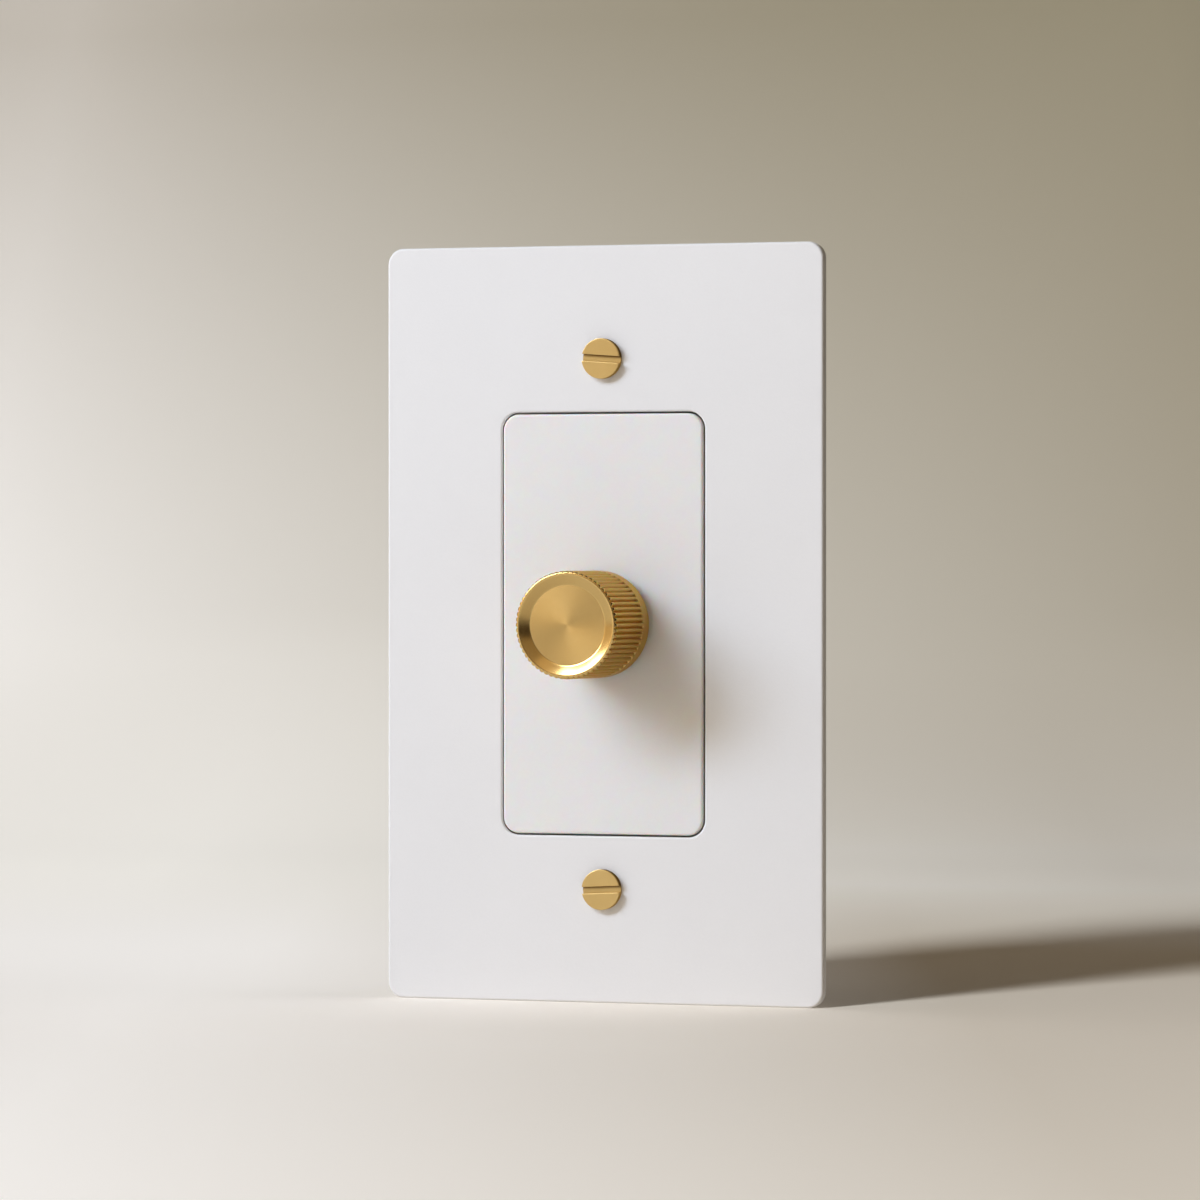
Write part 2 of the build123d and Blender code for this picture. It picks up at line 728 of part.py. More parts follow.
# Switch case: square cup on the back of the board, open to the back
with BuildPart() as switch_case:
    with BuildSketch(across(switch_back_y)):
        RectangleRounded(switch_size, switch_size, switch_wall)
    extrude(amount=switch_back_y - board_back_y)
    with BuildSketch(across(switch_back_y)):
        Rectangle(switch_size - 2 * switch_wall, switch_size - 2 * switch_wall)
    extrude(amount=switch_back_y - switch_inside_y, mode=Mode.SUBTRACT)
    with BuildSketch(across(switch_inside_y)):
        Circle(plunger_diameter / 2 + plunger_clearance)
        with Locations(*contact_places):
            Rectangle(*contact_slot)
    extrude(amount=switch_front_wall, mode=Mode.SUBTRACT)
switch_case.part.label = "switch_case"
export_step(switch_case.part, "parts/switch_case.step")

# Switch base: the lid at the back of the switch, the seat of the return spring
with BuildPart() as switch_base:
    base_size = switch_size - 2 * switch_wall - 2 * switch_fit
    with BuildSketch(across(switch_back_y)):
        Rectangle(base_size, base_size)
    extrude(amount=switch_base_thickness)
switch_base.part.label = "switch_base"
export_step(switch_base.part, "parts/switch_base.step")

# Plunger: pushed by the tail of the shaft, carries the contact bridge on its post
with BuildPart() as switch_plunger:
    with BuildSketch(across(plunger_flange_y)):
        Circle(plunger_diameter / 2)
    extrude(amount=plunger_flange_y - plunger_front_y)
    with BuildSketch(across(bridge_front_y)):
        Circle(plunger_flange_diameter / 2)
    extrude(amount=plunger_flange_thickness)
    with BuildSketch(across(bridge_front_y + plunger_post_length)):
        Circle(plunger_post_diameter / 2)
    extrude(amount=plunger_post_length)
switch_plunger.part.label = "switch_plunger"
export_step(switch_plunger.part, "parts/switch_plunger.step")

# Contact bridge: a strip on the plunger that joins the two fixed contacts
with BuildPart() as contact_bridge:
    with BuildSketch(across(bridge_back_y)):
        SlotOverall(bridge_length, bridge_width)
        Circle(plunger_flange_diameter / 2 - bridge_sheet)
        Circle(plunger_post_diameter / 2 + switch_fit, mode=Mode.SUBTRACT)
    extrude(amount=bridge_sheet)
contact_bridge.part.label = "contact_bridge"
export_step(contact_bridge.part, "parts/contact_bridge.step")

# Fixed contacts: two bent strips that stand in the board
with BuildPart() as switch_contacts:
    contact_inner_x = bridge_length / 2 - contact_overlap
    with BuildSketch(Plane.XY.offset(-contact_width / 2)):
        with BuildLine():
            Polyline(
                (contact_x, board_front_y),
                (contact_x, contact_face_y + contact_sheet),
                (contact_inner_x, contact_face_y + contact_sheet),
                (contact_inner_x, contact_face_y),
                (contact_x - contact_sheet, contact_face_y),
                (contact_x - contact_sheet, board_front_y),
                close=True,
            )
        make_face()
        mirror(about=Plane.YZ)
    extrude(amount=contact_width)
switch_contacts.part.label = "switch_contacts"
export_step(switch_contacts.part, "parts/switch_contacts.step")

# Return spring: a coil between the bridge and the base
with BuildPart() as return_spring:
    with BuildLine():
        coil = Helix(
            pitch=(spring_length - spring_wire) / spring_turns,
            height=spring_length - spring_wire,
            radius=(spring_diameter - spring_wire) / 2,
            center=(0, bridge_back_y + spring_wire / 2, 0),
            direction=(0, 1, 0),
        )
    with BuildSketch(Plane(origin=coil @ 0, z_dir=coil % 0)):
        Circle(spring_wire / 2)
    sweep(is_frenet=True)
return_spring.part.label = "return_spring"
export_step(return_spring.part, "parts/return_spring.step")

# Insulating pad between the power transistor and the yoke
with BuildPart() as insulating_pad:
    with BuildSketch(across(transistor_front_y)):
        with Locations((0, (transistor_z + transistor_top_z) / 2)):
            Rectangle(
                transistor_width + 2 * pad_margin, transistor_top_z - transistor_z + 2 * pad_margin
            )
        with Locations((0, heat_screw_z)):
            Circle(heat_screw_diameter / 2 + heat_screw_clearance, mode=Mode.SUBTRACT)
    extrude(amount=pad_thickness)
insulating_pad.part.label = "insulating_pad"
export_step(insulating_pad.part, "parts/insulating_pad.step")

# Power transistor: metal tab, moulded body and three leads bent back into the board
transistor_back_y = transistor_front_y + transistor_body_depth
tab_back_y = transistor_front_y + transistor_tab_thickness
with BuildPart() as power_transistor:
    with BuildSketch(across(transistor_back_y)):
        with Locations((0, transistor_z)):
            Rectangle(transistor_width, transistor_body_length, align=(Align.CENTER, Align.MIN))
    extrude(amount=transistor_body_depth)
    with BuildSketch(across(tab_back_y)):
        with Locations((0, tab_z)):
            Rectangle(transistor_width, transistor_tab_length, align=(Align.CENTER, Align.MIN))
        with Locations((0, heat_screw_z)):
            Circle(heat_screw_diameter / 2 + heat_screw_clearance, mode=Mode.SUBTRACT)
    extrude(amount=transistor_tab_thickness)
    for lead_x, _ in lead_places:
        with BuildSketch(Plane.YZ.offset(lead_x - transistor_lead_width / 2)):
            with BuildLine():
                FilletPolyline(
                    (lead_y, transistor_z),
                    (lead_y, lead_z - transistor_lead_sheet / 2),
                    (board_back_y + pin_tail, lead_z - transistor_lead_sheet / 2),
                    radius=2 * transistor_lead_sheet,
                )
                offset(amount=transistor_lead_sheet, side=Side.LEFT)
            make_face()
        extrude(amount=transistor_lead_width)
power_transistor.part.label = "power_transistor"
export_step(power_transistor.part, "parts/power_transistor.step")

# Screw and nut that press the transistor against the yoke
with BuildPart() as transistor_screw:
    with BuildSketch(across(yoke_front_y)):
        with Locations((0, heat_screw_z)):
            Circle(heat_screw_head_diameter / 2)
    extrude(amount=heat_screw_head_height)
    with BuildSketch(across(tab_back_y + heat_nut_thickness + heat_screw_end)):
        with Locations((0, heat_screw_z)):
            Circle(heat_screw_diameter / 2)
    extrude(amount=tab_back_y + heat_nut_thickness + heat_screw_end - yoke_front_y)
    with BuildSketch(across(yoke_front_y - heat_screw_head_height + small_slot_depth)):
        with Locations((0, heat_screw_z)):
            Rectangle(2 * heat_screw_head_diameter, small_slot_width)
    extrude(amount=small_slot_depth, mode=Mode.SUBTRACT)
transistor_screw.part.label = "transistor_screw"
export_step(transistor_screw.part, "parts/transistor_screw.step")

with BuildPart() as transistor_nut:
    with BuildSketch(across(tab_back_y + heat_nut_thickness)):
        with Locations((0, heat_screw_z)):
            RegularPolygon(heat_nut_flats / 2, 6, major_radius=False)
            Circle(heat_screw_diameter / 2 + thread_fit, mode=Mode.SUBTRACT)
    extrude(amount=heat_nut_thickness)
transistor_nut.part.label = "transistor_nut"
export_step(transistor_nut.part, "parts/transistor_nut.step")

# Film capacitor: a moulded block on the back of the board
with BuildPart() as film_capacitor:
    with BuildSketch(across(capacitor_back_y)):
        with Locations((0, capacitor_z)):
            RectangleRounded(capacitor_width, capacitor_height, capacitor_edge_round)
    extrude(amount=capacitor_depth)
    fillet(faces().sort_by(Axis.Y)[-1].edges(), capacitor_edge_round)
    with BuildSketch(across(board_back_y)):
        with Locations(*capacitor_places):
            Circle(fuse_lead_diameter / 2)
    extrude(amount=board_thickness + pin_tail)
film_capacitor.part.label = "film_capacitor"
export_step(film_capacitor.part, "parts/film_capacitor.step")

# Choke: a ring core inside an open sleeve of copper wire, lying on the back of the board
with BuildPart() as choke_core:
    with BuildSketch(across(core_back_y)):
        with Locations((0, choke_z)):
            Circle(choke_outer_diameter / 2)
            Circle(choke_inner_diameter / 2, mode=Mode.SUBTRACT)
    extrude(amount=choke_core_height)
choke_core.part.label = "choke_core"
export_step(choke_core.part, "parts/choke_core.step")

with BuildPart() as choke_winding:
    with BuildSketch(Plane.YZ):
        with Locations(((board_back_y + choke_back_y) / 2, choke_z - choke_ring_radius)):
            Rectangle(
                choke_back_y - board_back_y,
                choke_shell_radius - choke_inner_diameter / 2 + choke_wire,
            )
            Rectangle(
                choke_core_height + 2 * choke_fit,
                (choke_outer_diameter - choke_inner_diameter) / 2 + 2 * choke_fit,
                mode=Mode.SUBTRACT,
            )
    revolve(axis=Axis((0, 0, choke_z), (0, 1, 0)), revolution_arc=360 - choke_gap_angle)
    with BuildSketch(across(board_back_y)):
        with Locations(*choke_places):
            Circle(choke_wire / 2)
    extrude(amount=board_thickness + pin_tail)
choke_winding.part.label = "choke_winding"
export_step(choke_winding.part, "parts/choke_winding.step")

# Fuse: a tube with metal caps in front of the board, its leads bent back through the board
fuse_y = board_front_y - fuse_diameter / 2 - fuse_lift
with BuildPart() as fuse:
    with BuildSketch(Plane.YZ.offset(-fuse_length / 2)):
        with Locations((fuse_y, fuse_z)):
            Circle(fuse_diameter / 2 - fuse_cap_step)
    extrude(amount=fuse_length)
    for cap_x in (-fuse_length / 2, fuse_length / 2 - fuse_cap_length):
        with BuildSketch(Plane.YZ.offset(cap_x)):
            with Locations((fuse_y, fuse_z)):
                Circle(fuse_diameter / 2)
        extrude(amount=fuse_cap_length)
    for side in (1, -1):
        with BuildLine(Plane.XY.offset(fuse_z)):
            fuse_lead = FilletPolyline(
                (side * fuse_length / 2, fuse_y),
                (side * fuse_pin_x, fuse_y),
                (side * fuse_pin_x, board_back_y + pin_tail),
                radius=fuse_lead_diameter,
            )
        with BuildSketch(Plane(origin=fuse_lead @ 0, z_dir=fuse_lead % 0)):
            Circle(fuse_lead_diameter / 2)
        sweep()
fuse.part.label = "fuse"
export_step(fuse.part, "parts/fuse.step")

# Control chip: a moulded block on the front of the board with bent leads along two sides
with BuildPart() as control_chip:
    with BuildSketch(across(board_front_y - chip_lead_sheet)):
        with Locations((chip_x, 0)):
            Rectangle(chip_width, chip_length)
    extrude(amount=chip_height - chip_lead_sheet)
    for lead in range(chip_leads_per_side):
        chip_lead_z = (lead - (chip_leads_per_side - 1) / 2) * chip_lead_pitch
        with BuildSketch(Plane.XY.offset(chip_lead_z - chip_lead_width / 2)):
            for side in (1, -1):
                chip_edge_x = chip_x + side * chip_width / 2
                knee_x = chip_edge_x + side * chip_lead_reach / 2
                foot_x = chip_edge_x + side * chip_lead_reach
                with BuildLine():
                    Polyline(
                        (chip_edge_x, board_front_y - chip_lead_height),
                        (knee_x, board_front_y - chip_lead_height),
                        (knee_x, board_front_y - chip_lead_sheet),
                        (foot_x, board_front_y - chip_lead_sheet),
                        (foot_x, board_front_y),
                        (knee_x - side * chip_lead_sheet, board_front_y),
                        (knee_x - side * chip_lead_sheet, board_front_y - chip_lead_height + chip_lead_sheet),
                        (chip_edge_x, board_front_y - chip_lead_height + chip_lead_sheet),
                        close=True,
                    )
                make_face()
        extrude(amount=chip_lead_width)
control_chip.part.label = "control_chip"
export_step(control_chip.part, "parts/control_chip.step")

# Back housing: a moulded tub against the yoke, with screw bosses, board posts and terminal pockets
pocket_places = [(side * strip_x, z) for side, z in terminals]
post_x = board_width / 2 - post_inset
post_z = board_height / 2 - post_inset
with BuildPart() as back_housing:
    with BuildSketch(across(housing_back_y)):
        RectangleRounded(housing_width, housing_height, housing_corner_radius)
    extrude(amount=housing_back_y - yoke_back_y)
    fillet(faces().sort_by(Axis.Y)[-1].edges(), housing_back_round)
    with BuildSketch(across(housing_floor_y)):
        RectangleRounded(
            housing_width - 2 * housing_wall,
            housing_height - 2 * housing_wall,
            housing_corner_radius - housing_wall,
        )
        with Locations(*boss_places):
            Circle(boss_radius, mode=Mode.SUBTRACT)
        with Locations(*pocket_places):
            Rectangle(2 * pocket_wall, pocket_width + 2 * pocket_wall, mode=Mode.SUBTRACT)
    extrude(amount=housing_floor_y - yoke_back_y, mode=Mode.SUBTRACT)
    with BuildSketch(across(housing_floor_y)):
        with GridLocations(2 * post_x, 2 * post_z, 2, 2):
            Circle(post_diameter / 2)
    extrude(amount=housing_floor_y - board_back_y)
    for side, terminal_z in terminals:
        with BuildSketch(across(housing_back_y)):
            with Locations((side * (strip_x + pocket_depth), terminal_z)):
                Rectangle(2 * pocket_depth, pocket_width)
        extrude(amount=housing_back_y - board_back_y, mode=Mode.SUBTRACT)
        with BuildSketch(across(board_back_y + strip_sheet + strip_clearance)):
            with Locations((side * (strip_x - pocket_wall / 2), terminal_z)):
                Rectangle(2 * pocket_wall, strip_tab_width + 2 * strip_clearance)
        extrude(amount=strip_sheet + 2 * strip_clearance, mode=Mode.SUBTRACT)
        with BuildSketch(Plane.YZ.offset(side * strip_x)):
            with Locations((terminal_screw_y, terminal_z)):
                Circle(terminal_screw_diameter / 2 + strip_clearance)
        extrude(amount=-side * 2 * pocket_wall, mode=Mode.SUBTRACT)
    with BuildSketch(across(yoke_back_y)):
        with Locations(*boss_places):
            Circle(housing_screw_diameter / 2 + thread_fit)
    extrude(amount=-housing_screw_length, mode=Mode.SUBTRACT)
back_housing.part.label = "back_housing"
export_step(back_housing.part, "parts/back_housing.step")

# Housing screws: flat heads sunk in the yoke, threaded into the bosses
with BuildPart() as housing_screws:
    for place_x, place_z in boss_places:
        with BuildSketch(Plane.XY.offset(place_z)):
            with BuildLine():
                Polyline(
                    (place_x, yoke_front_y),
                    (place_x + housing_screw_head_diameter / 2, yoke_front_y),
                    (place_x + housing_screw_diameter / 2, yoke_front_y + head_drop),
                    (place_x + housing_screw_diameter / 2, yoke_front_y + housing_screw_length),
                    (place_x, yoke_front_y + housing_screw_length),
                    close=True,
                )
            make_face()
        revolve(axis=Axis((place_x, 0, place_z), (0, 1, 0)))
        with BuildSketch(across(yoke_front_y + small_slot_depth)):
            with Locations((place_x, place_z)):
                Rectangle(2 * housing_screw_head_diameter, small_slot_width)
        extrude(amount=small_slot_depth, mode=Mode.SUBTRACT)
housing_screws.part.label = "housing_screws"
export_step(housing_screws.part, "parts/housing_screws.step")

# Terminal strips: a clamp plate in each pocket, with a tab through the wall onto the board
strip_tab_x = board_width / 2 - strip_board_overlap
with BuildPart() as terminal_strips:
    for side, terminal_z in terminals:
        with BuildSketch(across(board_back_y + strip_length)):
            with Locations((side * (strip_x + strip_sheet / 2), terminal_z)):
                Rectangle(strip_sheet, strip_width)
        extrude(amount=strip_length)
        with BuildSketch(across(board_back_y + strip_sheet)):
            with Locations((side * (strip_tab_x + strip_x) / 2, terminal_z)):
                Rectangle(strip_x - strip_tab_x, strip_tab_width)
        extrude(amount=strip_sheet)
        with BuildSketch(Plane.YZ.offset(side * strip_x)):
            with Locations((terminal_screw_y, terminal_z)):
                Circle(terminal_screw_diameter / 2 + thread_fit)
        extrude(amount=side * strip_sheet, mode=Mode.SUBTRACT)
terminal_strips.part.label = "terminal_strips"
export_step(terminal_strips.part, "parts/terminal_strips.step")

# Terminal screws: wide slotted heads that bind a wire against each strip
with BuildPart() as terminal_screws:
    for side, terminal_z in terminals:
        with BuildSketch(Plane.YZ.offset(side * (strip_x + strip_sheet))):
            with Locations((terminal_screw_y, terminal_z)):
                Circle(terminal_head_diameter / 2)
        extrude(amount=side * terminal_head_height)
        with BuildSketch(Plane.YZ.offset(side * (strip_x + strip_sheet))):
            with Locations((terminal_screw_y, terminal_z)):
                Circle(terminal_screw_diameter / 2)
        extrude(amount=-side * terminal_screw_length)
        with BuildSketch(Plane.YZ.offset(side * (strip_x + strip_sheet + terminal_head_height))):
            with Locations((terminal_screw_y, terminal_z)):
                Rectangle(2 * terminal_head_diameter, terminal_slot_width)
        extrude(amount=-side * terminal_slot_depth, mode=Mode.SUBTRACT)
terminal_screws.part.label = "terminal_screws"
export_step(terminal_screws.part, "parts/terminal_screws.step")

# Earth screw: hexagon head on the ear of the yoke
with BuildPart() as earth_screw:
    with BuildSketch(Plane.YZ.offset(ear_x)):
        with Locations((earth_y, ear_z)):
            RegularPolygon(earth_head_flats / 2, 6, major_radius=False)
    extrude(amount=-earth_head_height)
    with BuildSketch(Plane.YZ.offset(ear_x)):
        with Locations((earth_y, ear_z)):
            Circle(terminal_screw_diameter / 2)
    extrude(amount=earth_screw_length)
    with BuildSketch(Plane.YZ.offset(ear_x - earth_head_height)):
        with Locations((earth_y, ear_z)):
            Rectangle(2 * earth_head_flats, terminal_slot_width)
    extrude(amount=terminal_slot_depth, mode=Mode.SUBTRACT)
earth_screw.part.label = "earth_screw"
export_step(earth_screw.part, "parts/earth_screw.step")
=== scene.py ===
import bmesh
import bpy
import numpy as np
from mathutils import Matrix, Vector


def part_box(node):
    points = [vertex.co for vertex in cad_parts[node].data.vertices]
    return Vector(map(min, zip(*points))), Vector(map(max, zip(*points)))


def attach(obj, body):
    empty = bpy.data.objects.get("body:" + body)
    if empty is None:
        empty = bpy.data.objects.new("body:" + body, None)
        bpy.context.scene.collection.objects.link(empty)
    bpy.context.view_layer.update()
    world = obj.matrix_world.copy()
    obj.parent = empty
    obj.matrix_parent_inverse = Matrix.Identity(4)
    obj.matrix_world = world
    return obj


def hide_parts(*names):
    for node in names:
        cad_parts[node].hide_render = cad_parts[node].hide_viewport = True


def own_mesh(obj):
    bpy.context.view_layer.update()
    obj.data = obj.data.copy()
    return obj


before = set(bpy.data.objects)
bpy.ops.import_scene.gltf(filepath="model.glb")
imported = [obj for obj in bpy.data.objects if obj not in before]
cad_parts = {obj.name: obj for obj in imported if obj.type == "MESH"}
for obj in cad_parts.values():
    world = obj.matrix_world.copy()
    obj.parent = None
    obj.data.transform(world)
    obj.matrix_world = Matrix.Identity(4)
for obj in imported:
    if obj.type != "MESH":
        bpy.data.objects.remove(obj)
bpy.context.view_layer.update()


# Mounting yoke: the strap that carries every other piece, stamped and folded from steel sheet.
# It is zinc plated after bending, which leaves a cloudy bluish grey over a fine rolling grain.
# The lock washer, nuts, clip and small screws that hold things to it have the same plating.
class Wire:
    """An output socket of a node tree. Arithmetic on it adds Math nodes."""

    def __init__(self, socket):
        self.socket = socket

    def node(self, kind, sockets, out=0, **settings):
        """Adds a node, applies its settings, then its sockets' values or links, and gives one output."""
        tree = self.socket.id_data
        made = tree.nodes.new("ShaderNode" + kind)
        for name, value in settings.items():
            setattr(made, name, value)
        for name, value in sockets.items():
            if isinstance(value, Wire):
                tree.links.new(value.socket, made.inputs[name])
            else:
                made.inputs[name].default_value = value
        return Wire(made.outputs[out])

    def feeds(self, shader, socket):
        """Links this output into a shader's socket."""
        self.socket.id_data.links.new(self.socket, shader.inputs[socket])

    def raises(self, shader, height, strength=1.0):
        """Links this output into a shader's Normal as bumps of a height in metres."""
        self.node("Bump", {"Height": self, "Distance": height, "Strength": strength}).feeds(shader, "Normal")

    def axis(self, letter):
        """One of the three numbers of this vector."""
        return self.node("SeparateXYZ", {0: self}, out=letter)

    def along(self, direction):
        """How far this vector reaches in a direction: their dot product."""
        return self.node("VectorMath", {0: self, 1: direction}, out="Value", operation="DOT_PRODUCT")

    def noise(self, scale, detail, **sockets):
        """Cloudy noise at this place, from 0 to 1, with about scale clouds to the metre."""
        return self.node("TexNoise", {"Vector": self, "Scale": scale, "Detail": detail, **sockets})

    def ramp(self, low, high, start=0.0, end=1.0, kind="LINEAR"):
        """The value that goes from start to end as this one goes from low to high, and stays there."""
        return self.node("MapRange", {0: self, 1: low, 2: high, 3: start, 4: end}, interpolation_type=kind)

    def between(self, low, high):
        """The colour that goes from low to high as this value goes from 0 to 1."""
        return self.node("Mix", {0: self, 6: low, 7: high}, out=2, data_type="RGBA")

    def __abs__(self):
        return self.node("Math", {0: self}, operation="ABSOLUTE")

    def __add__(self, other):
        return self.node("Math", {0: self, 1: other}, operation="ADD")

    def __radd__(self, other):
        return self.node("Math", {0: other, 1: self}, operation="ADD")

    def __sub__(self, other):
        return self.node("Math", {0: self, 1: other}, operation="SUBTRACT")

    def __rsub__(self, other):
        return self.node("Math", {0: other, 1: self}, operation="SUBTRACT")

    def __mul__(self, other):
        return self.node("Math", {0: self, 1: other}, operation="MULTIPLY")

    def __rmul__(self, other):
        return self.node("Math", {0: other, 1: self}, operation="MULTIPLY")

    def __gt__(self, other):
        return self.node("Math", {0: self, 1: other}, operation="GREATER_THAN")


def new_finish(name, **constants):
    """A material, its shader and its object coordinates. The constants go on the shader's own sockets."""
    material = bpy.data.materials.new(name)
    material.use_nodes = True
    shader = material.node_tree.nodes["Principled BSDF"]
    for socket, value in constants.items():
        shader.inputs[socket.replace("_", " ")].default_value = value
    place = Wire(material.node_tree.nodes.new("ShaderNodeTexCoord").outputs["Object"])
    return material, shader, place


def dress(material, *names):
    """Gives the material to CAD nodes."""
    for name in names:
        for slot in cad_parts[name].material_slots:
            slot.material = material


zinc, shader, place = new_finish("zinc_plate", Metallic=1.0)
clouds = place.noise(240.0, 4.0)
grain = place.noise(5200.0, 2.0)
clouds.between((0.45, 0.47, 0.5, 1), (0.64, 0.64, 0.62, 1)).feeds(shader, "Base Color")
(0.26 + clouds * 0.2 + grain * 0.06).feeds(shader, "Roughness")
grain.raises(shader, 0.000006, 0.4)
dress(zinc, "mounting_yoke", "lock_washer", "bush_nut", "shaft_clip", "transistor_nut")
dress(zinc, "transistor_screw", "housing_screws")

# Control bush: a zinc die casting with a threaded barrel, clamped to the yoke by its nut.
# The casting skin is slightly pebbled, and the thread runs round the barrel.
bush_pitch = 0.00075
bush_bands = np.pi / 10 / bush_pitch
cast_zinc, shader, place = new_finish("cast_zinc", Metallic=1.0)
pebbles = place.noise(2600.0, 3.0)
thread = place.node("TexWave", {"Vector": place, "Scale": bush_bands}, out=1, bands_direction="Y")
pebbles.between((0.42, 0.42, 0.43, 1), (0.58, 0.58, 0.57, 1)).feeds(shader, "Base Color")
(0.34 + pebbles * 0.2).feeds(shader, "Roughness")
(thread + pebbles * 0.2).raises(shader, 0.0001)
dress(cast_zinc, "control_bush")

# Control shaft: turned from brass rod and nickel plated, with fine tool marks round it.
# The knob is clamped to its front end, and its flat drives the rotor.
nickel, shader, place = new_finish("nickel_plate", Metallic=1.0)
marks = place.node(
    "TexWave", {"Vector": place, "Scale": 2600.0, "Distortion": 0.6}, out=1, bands_direction="Y"
)
bloom = place.noise(500.0, 3.0)
bloom.between((0.6, 0.57, 0.5, 1), (0.74, 0.72, 0.66, 1)).feeds(shader, "Base Color")
(0.2 + marks * 0.08 + bloom * 0.1).feeds(shader, "Roughness")
marks.raises(shader, 0.000004, 0.3)
dress(nickel, "control_shaft")

# Control case and switch base: plain grey mouldings, a glass filled nylon with faint flow marks.
# The case is a cup behind the flange of the bush, and the base is the lid at the back of the switch.
grey_nylon, shader, place = new_finish("grey_moulding")
flow = place.noise(420.0, 6.0, Distortion=1.2)
skin = place.noise(3800.0, 2.0)
flow.between((0.028, 0.029, 0.031, 1), (0.052, 0.053, 0.055, 1)).feeds(shader, "Base Color")
(0.42 + flow * 0.2).feeds(shader, "Roughness")
skin.raises(shader, 0.00001, 0.5)
dress(grey_nylon, "control_case", "switch_base")

# Rotor and plunger: unfilled nylon in its natural cream, slightly see-through and waxy.
# The flat of the shaft turns the rotor, and the tail of the shaft pushes the plunger.
nylon, shader, place = new_finish("natural_nylon", Subsurface_Weight=0.15, Subsurface_Scale=0.001)
mottle = place.noise(700.0, 4.0)
mottle.between((0.66, 0.61, 0.48, 1), (0.76, 0.72, 0.6, 1)).feeds(shader, "Base Color")
(0.36 + mottle * 0.16).feeds(shader, "Roughness")
mottle.raises(shader, 0.00002, 0.3)
dress(nylon, "wiper_rotor", "switch_plunger")

# Resistance wafer: punched from brown phenolic paper sheet, which shows short fibres.
# It is keyed in the control case by a lug, and its tongue carries the three pins.
phenolic, shader, place = new_finish("phenolic_sheet")
fibre_place = place.node("Mapping", {"Vector": place, "Scale": (1.0, 1.0, 0.12)})
fibres = fibre_place.noise(3200.0, 4.0)
fibres.between((0.1, 0.045, 0.018, 1), (0.2, 0.1, 0.045, 1)).feeds(shader, "Base Color")
(0.4 + fibres * 0.2).feeds(shader, "Roughness")
fibres.raises(shader, 0.00001, 0.3)
dress(phenolic, "resistance_wafer")

# Contacts, pins and terminal strips: stamped from rolled brass strip, with the rolling lines
# along the strip and a little tarnish in patches. The terminal screws are turned from brighter rod.
strip_brass, shader, place = new_finish("rolled_brass", Metallic=1.0)
rolled_place = place.node("Mapping", {"Vector": place, "Scale": (1.0, 0.06, 1.0)})
rolled = rolled_place.noise(6000.0, 2.0)
tarnish = place.noise(330.0, 5.0, Roughness=0.6)
tarnish.between((0.46, 0.3, 0.11, 1), (0.7, 0.5, 0.23, 1)).feeds(shader, "Base Color")
(0.2 + tarnish * 0.14 + rolled * 0.12).feeds(shader, "Roughness")
rolled.raises(shader, 0.000005, 0.3)
dress(strip_brass, "control_pins", "wiper_contact", "contact_bridge", "switch_contacts")
dress(strip_brass, "terminal_strips")
rod_brass, shader, place = new_finish("turned_rod", Metallic=1.0)
turning = place.noise(2400.0, 3.0)
turning.between((0.74, 0.6, 0.37, 1), (0.84, 0.72, 0.49, 1)).feeds(shader, "Base Color")
(0.26 + turning * 0.16).feeds(shader, "Roughness")
turning.raises(shader, 0.000008, 0.3)
dress(rod_brass, "terminal_screws")

# Circuit board: glass laminate under green solder resist, on which the copper tracks show as
# slightly raised paler lines. It stands on four posts of the housing.
resist, shader, place = new_finish("solder_resist", Coat_Weight=0.4, Coat_Roughness=0.15)
flat_place = place.node("Mapping", {"Vector": place, "Rotation": (np.pi / 2, 0.0, 0.0)})
tracks = place.node(
    "TexBrick",
    {"Vector": flat_place, "Scale": 90.0, "Mortar Size": 0.05, "Color1": (0, 0, 0, 1), "Color2": (0, 0, 0, 1),
     "Mortar": (1, 1, 1, 1), "Brick Width": 0.7, "Row Height": 0.25},
    out=1,
)
weave = place.noise(2400.0, 2.0)
green = weave.between((0.006, 0.05, 0.02, 1), (0.012, 0.08, 0.033, 1))
tracks.between(green, (0.03, 0.14, 0.05, 1)).feeds(shader, "Base Color")
(0.3 + weave * 0.15).feeds(shader, "Roughness")
(tracks + weave * 0.3).raises(shader, 0.00003)
dress(resist, "circuit_board")

# Control chip: a moulded epoxy block with bent, tinned leads along two sides. It is soldered to the
# front of the board.
chip_low, chip_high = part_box("control_chip")
chip_lead = 0.001
epoxy, shader, place = new_finish("chip_epoxy")
specks = place.noise(5200.0, 3.0)
chip_middle = (chip_low.x + chip_high.x) / 2
from_middle = abs(place.axis("X") - chip_middle)
tinned = from_middle > (chip_high.x - chip_low.x) / 2 - chip_lead
body_black = specks.between((0.014, 0.014, 0.015, 1), (0.03, 0.03, 0.031, 1))
tinned.between(body_black, (0.6, 0.6, 0.58, 1)).feeds(shader, "Base Color")
tinned.feeds(shader, "Metallic")
(0.5 - tinned * 0.2 + specks * 0.12).feeds(shader, "Roughness")
specks.raises(shader, 0.000008, 0.4)
dress(epoxy, "control_chip")

